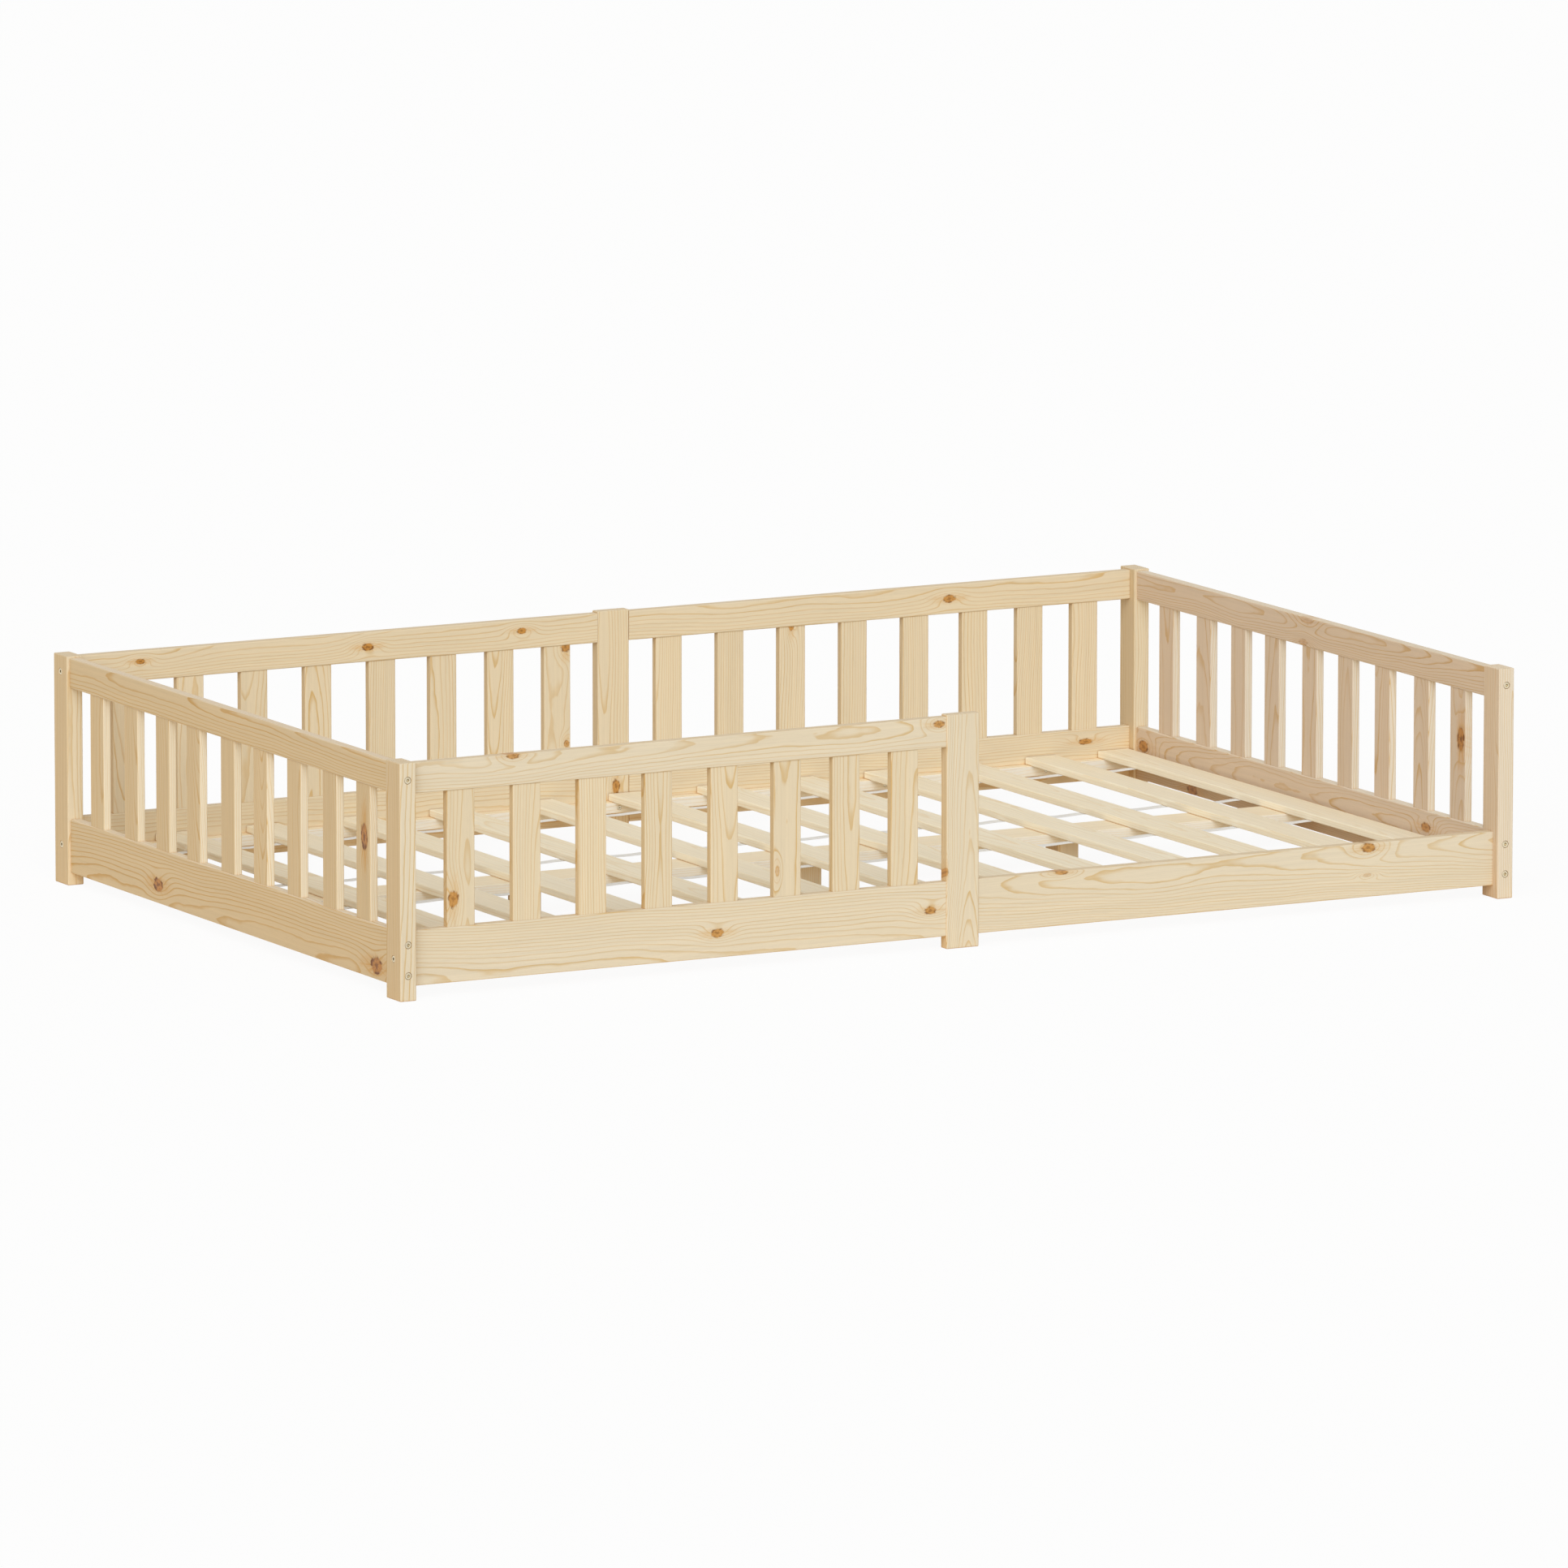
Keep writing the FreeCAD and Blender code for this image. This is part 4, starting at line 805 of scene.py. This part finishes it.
# painted shade in the hollows of the weave
tape_colour = weave.mix(weave.ramp(crossing, -1.0, 1.0), TAPE_SHADED_HOLLOW, TAPE_THREAD)
tape_colour = weave.mix(weave.sum("MULTIPLY", darker_edge, DARKER_EDGE_SHARE), tape_colour, TAPE_DARKER_EDGE)
tape_height = weave.sum("MULTIPLY_ADD", lint, LINT_HEIGHT, crossing)
tape_bump = weave.add("ShaderNodeBump", {"Strength": 0.4, "Distance": 0.0002, "Height": tape_height})
tape_rough = weave.sum("MULTIPLY_ADD", lint, LINT_ROUGH, TAPE_ROUGH)
tape_surface = weave.add("ShaderNodeBsdfPrincipled", {
    "Base Color": tape_colour, "Roughness": tape_rough, "Specular IOR Level": 0.2,
    "Sheen Weight": 0.25, "Sheen Roughness": 0.4, "Normal": tape_bump.outputs[0]})
weave.add("ShaderNodeOutputMaterial", {"Surface": tape_surface.outputs[0]})
print("weave:", len(weave.tree.nodes), "steps")

# %% Tapes under the slats
TAPES = ("front_outer_tape", "front_inner_tape", "rear_inner_tape", "rear_outer_tape")
for node in TAPES:
    path = tape_path(middle_of(node).y)
    tape = band(f"woven_{node}", path, flat_section(TAPE_WIDE, TAPE_THICK))
    tape.data.materials.append(webbing)
    tape.data.shade_smooth()
    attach(tape, "slat_base")
    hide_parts(node)

# %% [markdown]
# ## Staples
# Two wire staples across the tape hold it to the underside of each slat. The crown of a staple is a flattened
# wire, bent up at both ends where the legs go into the wood. The legs are inside the slat, so they aren't
# made. All staples are one piece, the same small tube repeated, because a hundred objects would be hard to
# handle.

# %% Staples under the tapes
CROWN, WIRE_WIDE, WIRE_THICK, WIRE_SIDES = 0.011, 0.0012, 0.0006, 6
# places along the crown as a share of half its length, and how far each is bent up towards the wood
CROWN_SHARE = np.array([-1.0, -0.97, -0.88, 0.0, 0.88, 0.97, 1.0])
CROWN_LIFT = np.array([0.0009, 0.0004, 0.0, 0.0, 0.0, 0.0004, 0.0009])
# how far a staple is from the middle of its slat
STAPLE_SIDE = 0.012


def staple_points(x, y, z):
    """Crown of a staple across the tape, whose upper side is at z: at each place along Y an oval section of
    the wire. Its X part is half the width times the cosine of the turn, and its Z part is half the thickness
    times the sine of the turn, plus the lift."""
    turn = np.linspace(0, 2 * np.pi, WIRE_SIDES, endpoint=False)
    grid = np.empty((len(CROWN_SHARE), WIRE_SIDES, 3))
    grid[..., 0] = x + np.cos(turn) * WIRE_WIDE / 2
    grid[..., 1] = y + CROWN_SHARE[:, None] * CROWN / 2
    grid[..., 2] = z - WIRE_THICK / 2 + np.sin(turn) * WIRE_THICK / 2 + CROWN_LIFT[:, None]
    return grid.reshape(-1, 3)


staple_places = [((low + high) / 2 + side, middle_of(node).y) for low, high in slat_ends
                 for side in (-STAPLE_SIDE, STAPLE_SIDE) for node in TAPES]
points = np.concatenate([staple_points(x, y, slat_under - TAPE_THICK) for x, y in staple_places])
crown_faces = tube_faces(len(CROWN_SHARE), WIRE_SIDES, flip=True)
crown_size = len(CROWN_SHARE) * WIRE_SIDES
faces = [[corner + crown_size * k for corner in face]
         for k in range(len(staple_places)) for face in crown_faces]
staple_mesh = bpy.data.meshes.new("tape_staples")
staple_mesh.from_pydata(points.tolist(), [], faces)
staple_mesh.materials.append(zinc)
staples = bpy.data.objects.new("tape_staples", staple_mesh)
bed.objects.link(staples)
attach(staples, "slat_base")
print(len(staple_places), "staples")

# %% [markdown]
# ## Studio
# The floor is plain and pale. A white floor lit until it is white would also wash out the bed, so the floor
# and the world tell apart who looks. The camera, and mirrors and glass, see the floor almost as white paper
# with a faint shadow, while the bed is lit by it as by a pale warm floor. The world is a soft even light from
# all round. One lamp, far off to the upper left of the camera and almost a radian wide, makes the faces to
# the front the brightest. A weaker one from the left end of the bed reaches the sides of the slats.

# %% Who looks
def seen_directly(graph):
    """1 for a ray from the camera, from a mirror or through glass, and 0 for light on its way to the bed."""
    rays = graph.add("ShaderNodeLightPath").outputs
    seen = graph.sum("MAXIMUM", rays["Is Camera Ray"], rays["Is Glossy Ray"])
    return graph.sum("MAXIMUM", seen, rays["Is Transmission Ray"])


print("rays told apart")

# %% Floor
FLOOR_HALF = 60.0
WHITE = (1.0, 1.0, 1.0, 1.0)
# the colour that lights the bed, the colour that the camera sees, and how much of that is plain white
PAPER_LIT, PAPER_SEEN, PAPER_GLOW = (0.90, 0.79, 0.62, 1.0), (0.88, 0.90, 0.93, 1.0), 0.93

floor_mesh = bpy.data.meshes.new("studio_floor")
floor_corners = [(FLOOR_HALF * x, FLOOR_HALF * y, 0.0) for x, y in ((-1, -1), (1, -1), (1, 1), (-1, 1))]
floor_mesh.from_pydata(floor_corners, [], [(0, 1, 2, 3)])
floor = bpy.data.objects.new("studio_floor", floor_mesh)
bed.objects.link(floor)
paper = bpy.data.materials.new("studio_paper")
sheet = empty_graph(paper)
seen = seen_directly(sheet)
matt = sheet.add("ShaderNodeBsdfDiffuse", {"Color": sheet.mix(seen, PAPER_LIT, PAPER_SEEN)})
glow = sheet.add("ShaderNodeEmission", {"Color": WHITE, "Strength": 1.0})
glow_share = sheet.sum("MULTIPLY", seen, PAPER_GLOW)
mixed = sheet.add("ShaderNodeMixShader", {0: glow_share, 1: matt.outputs[0], 2: glow.outputs[0]})
sheet.add("ShaderNodeOutputMaterial", {"Surface": mixed.outputs[0]})
floor_mesh.materials.append(paper)
print("floor", 2 * FLOOR_HALF, "m wide")

# %% World and lamps
SKY, SKY_STRENGTH = (1.0, 0.92, 0.80, 1.0), 0.54

world = bpy.data.worlds.new("studio_world")
bpy.context.scene.world = world
sky = empty_graph(world)
soft = sky.add("ShaderNodeBackground", {"Color": SKY, "Strength": SKY_STRENGTH})
white = sky.add("ShaderNodeBackground", {"Color": WHITE, "Strength": 1.0})
blend = sky.add("ShaderNodeMixShader", {0: seen_directly(sky), 1: soft.outputs[0], 2: white.outputs[0]})
sky.add("ShaderNodeOutputWorld", {"Surface": blend.outputs[0]})


def sun_lamp(name, place, angle, energy, colour):
    """Lamp that shines from a place to the origin, as wide as the angle in radians."""
    lamp = bpy.data.lights.new(name, "SUN")
    lamp.angle, lamp.energy, lamp.color = angle, energy, colour
    holder = bpy.data.objects.new(name, lamp)
    holder.matrix_world = Matrix.Translation(place) @ place.to_track_quat("Z", "Y").to_matrix().to_4x4()
    bed.objects.link(holder)


sun_lamp("key_lamp", Vector((-4.6, -7.0, 5.45)), angle=0.85, energy=1.66, colour=(0.88, 0.95, 1.0))
sun_lamp("fill_lamp", Vector((-9.0, -1.6, 3.9)), angle=0.7, energy=0.30, colour=(1.0, 0.97, 0.92))
bpy.context.scene.view_settings.view_transform = "Standard"
print("studio lit")
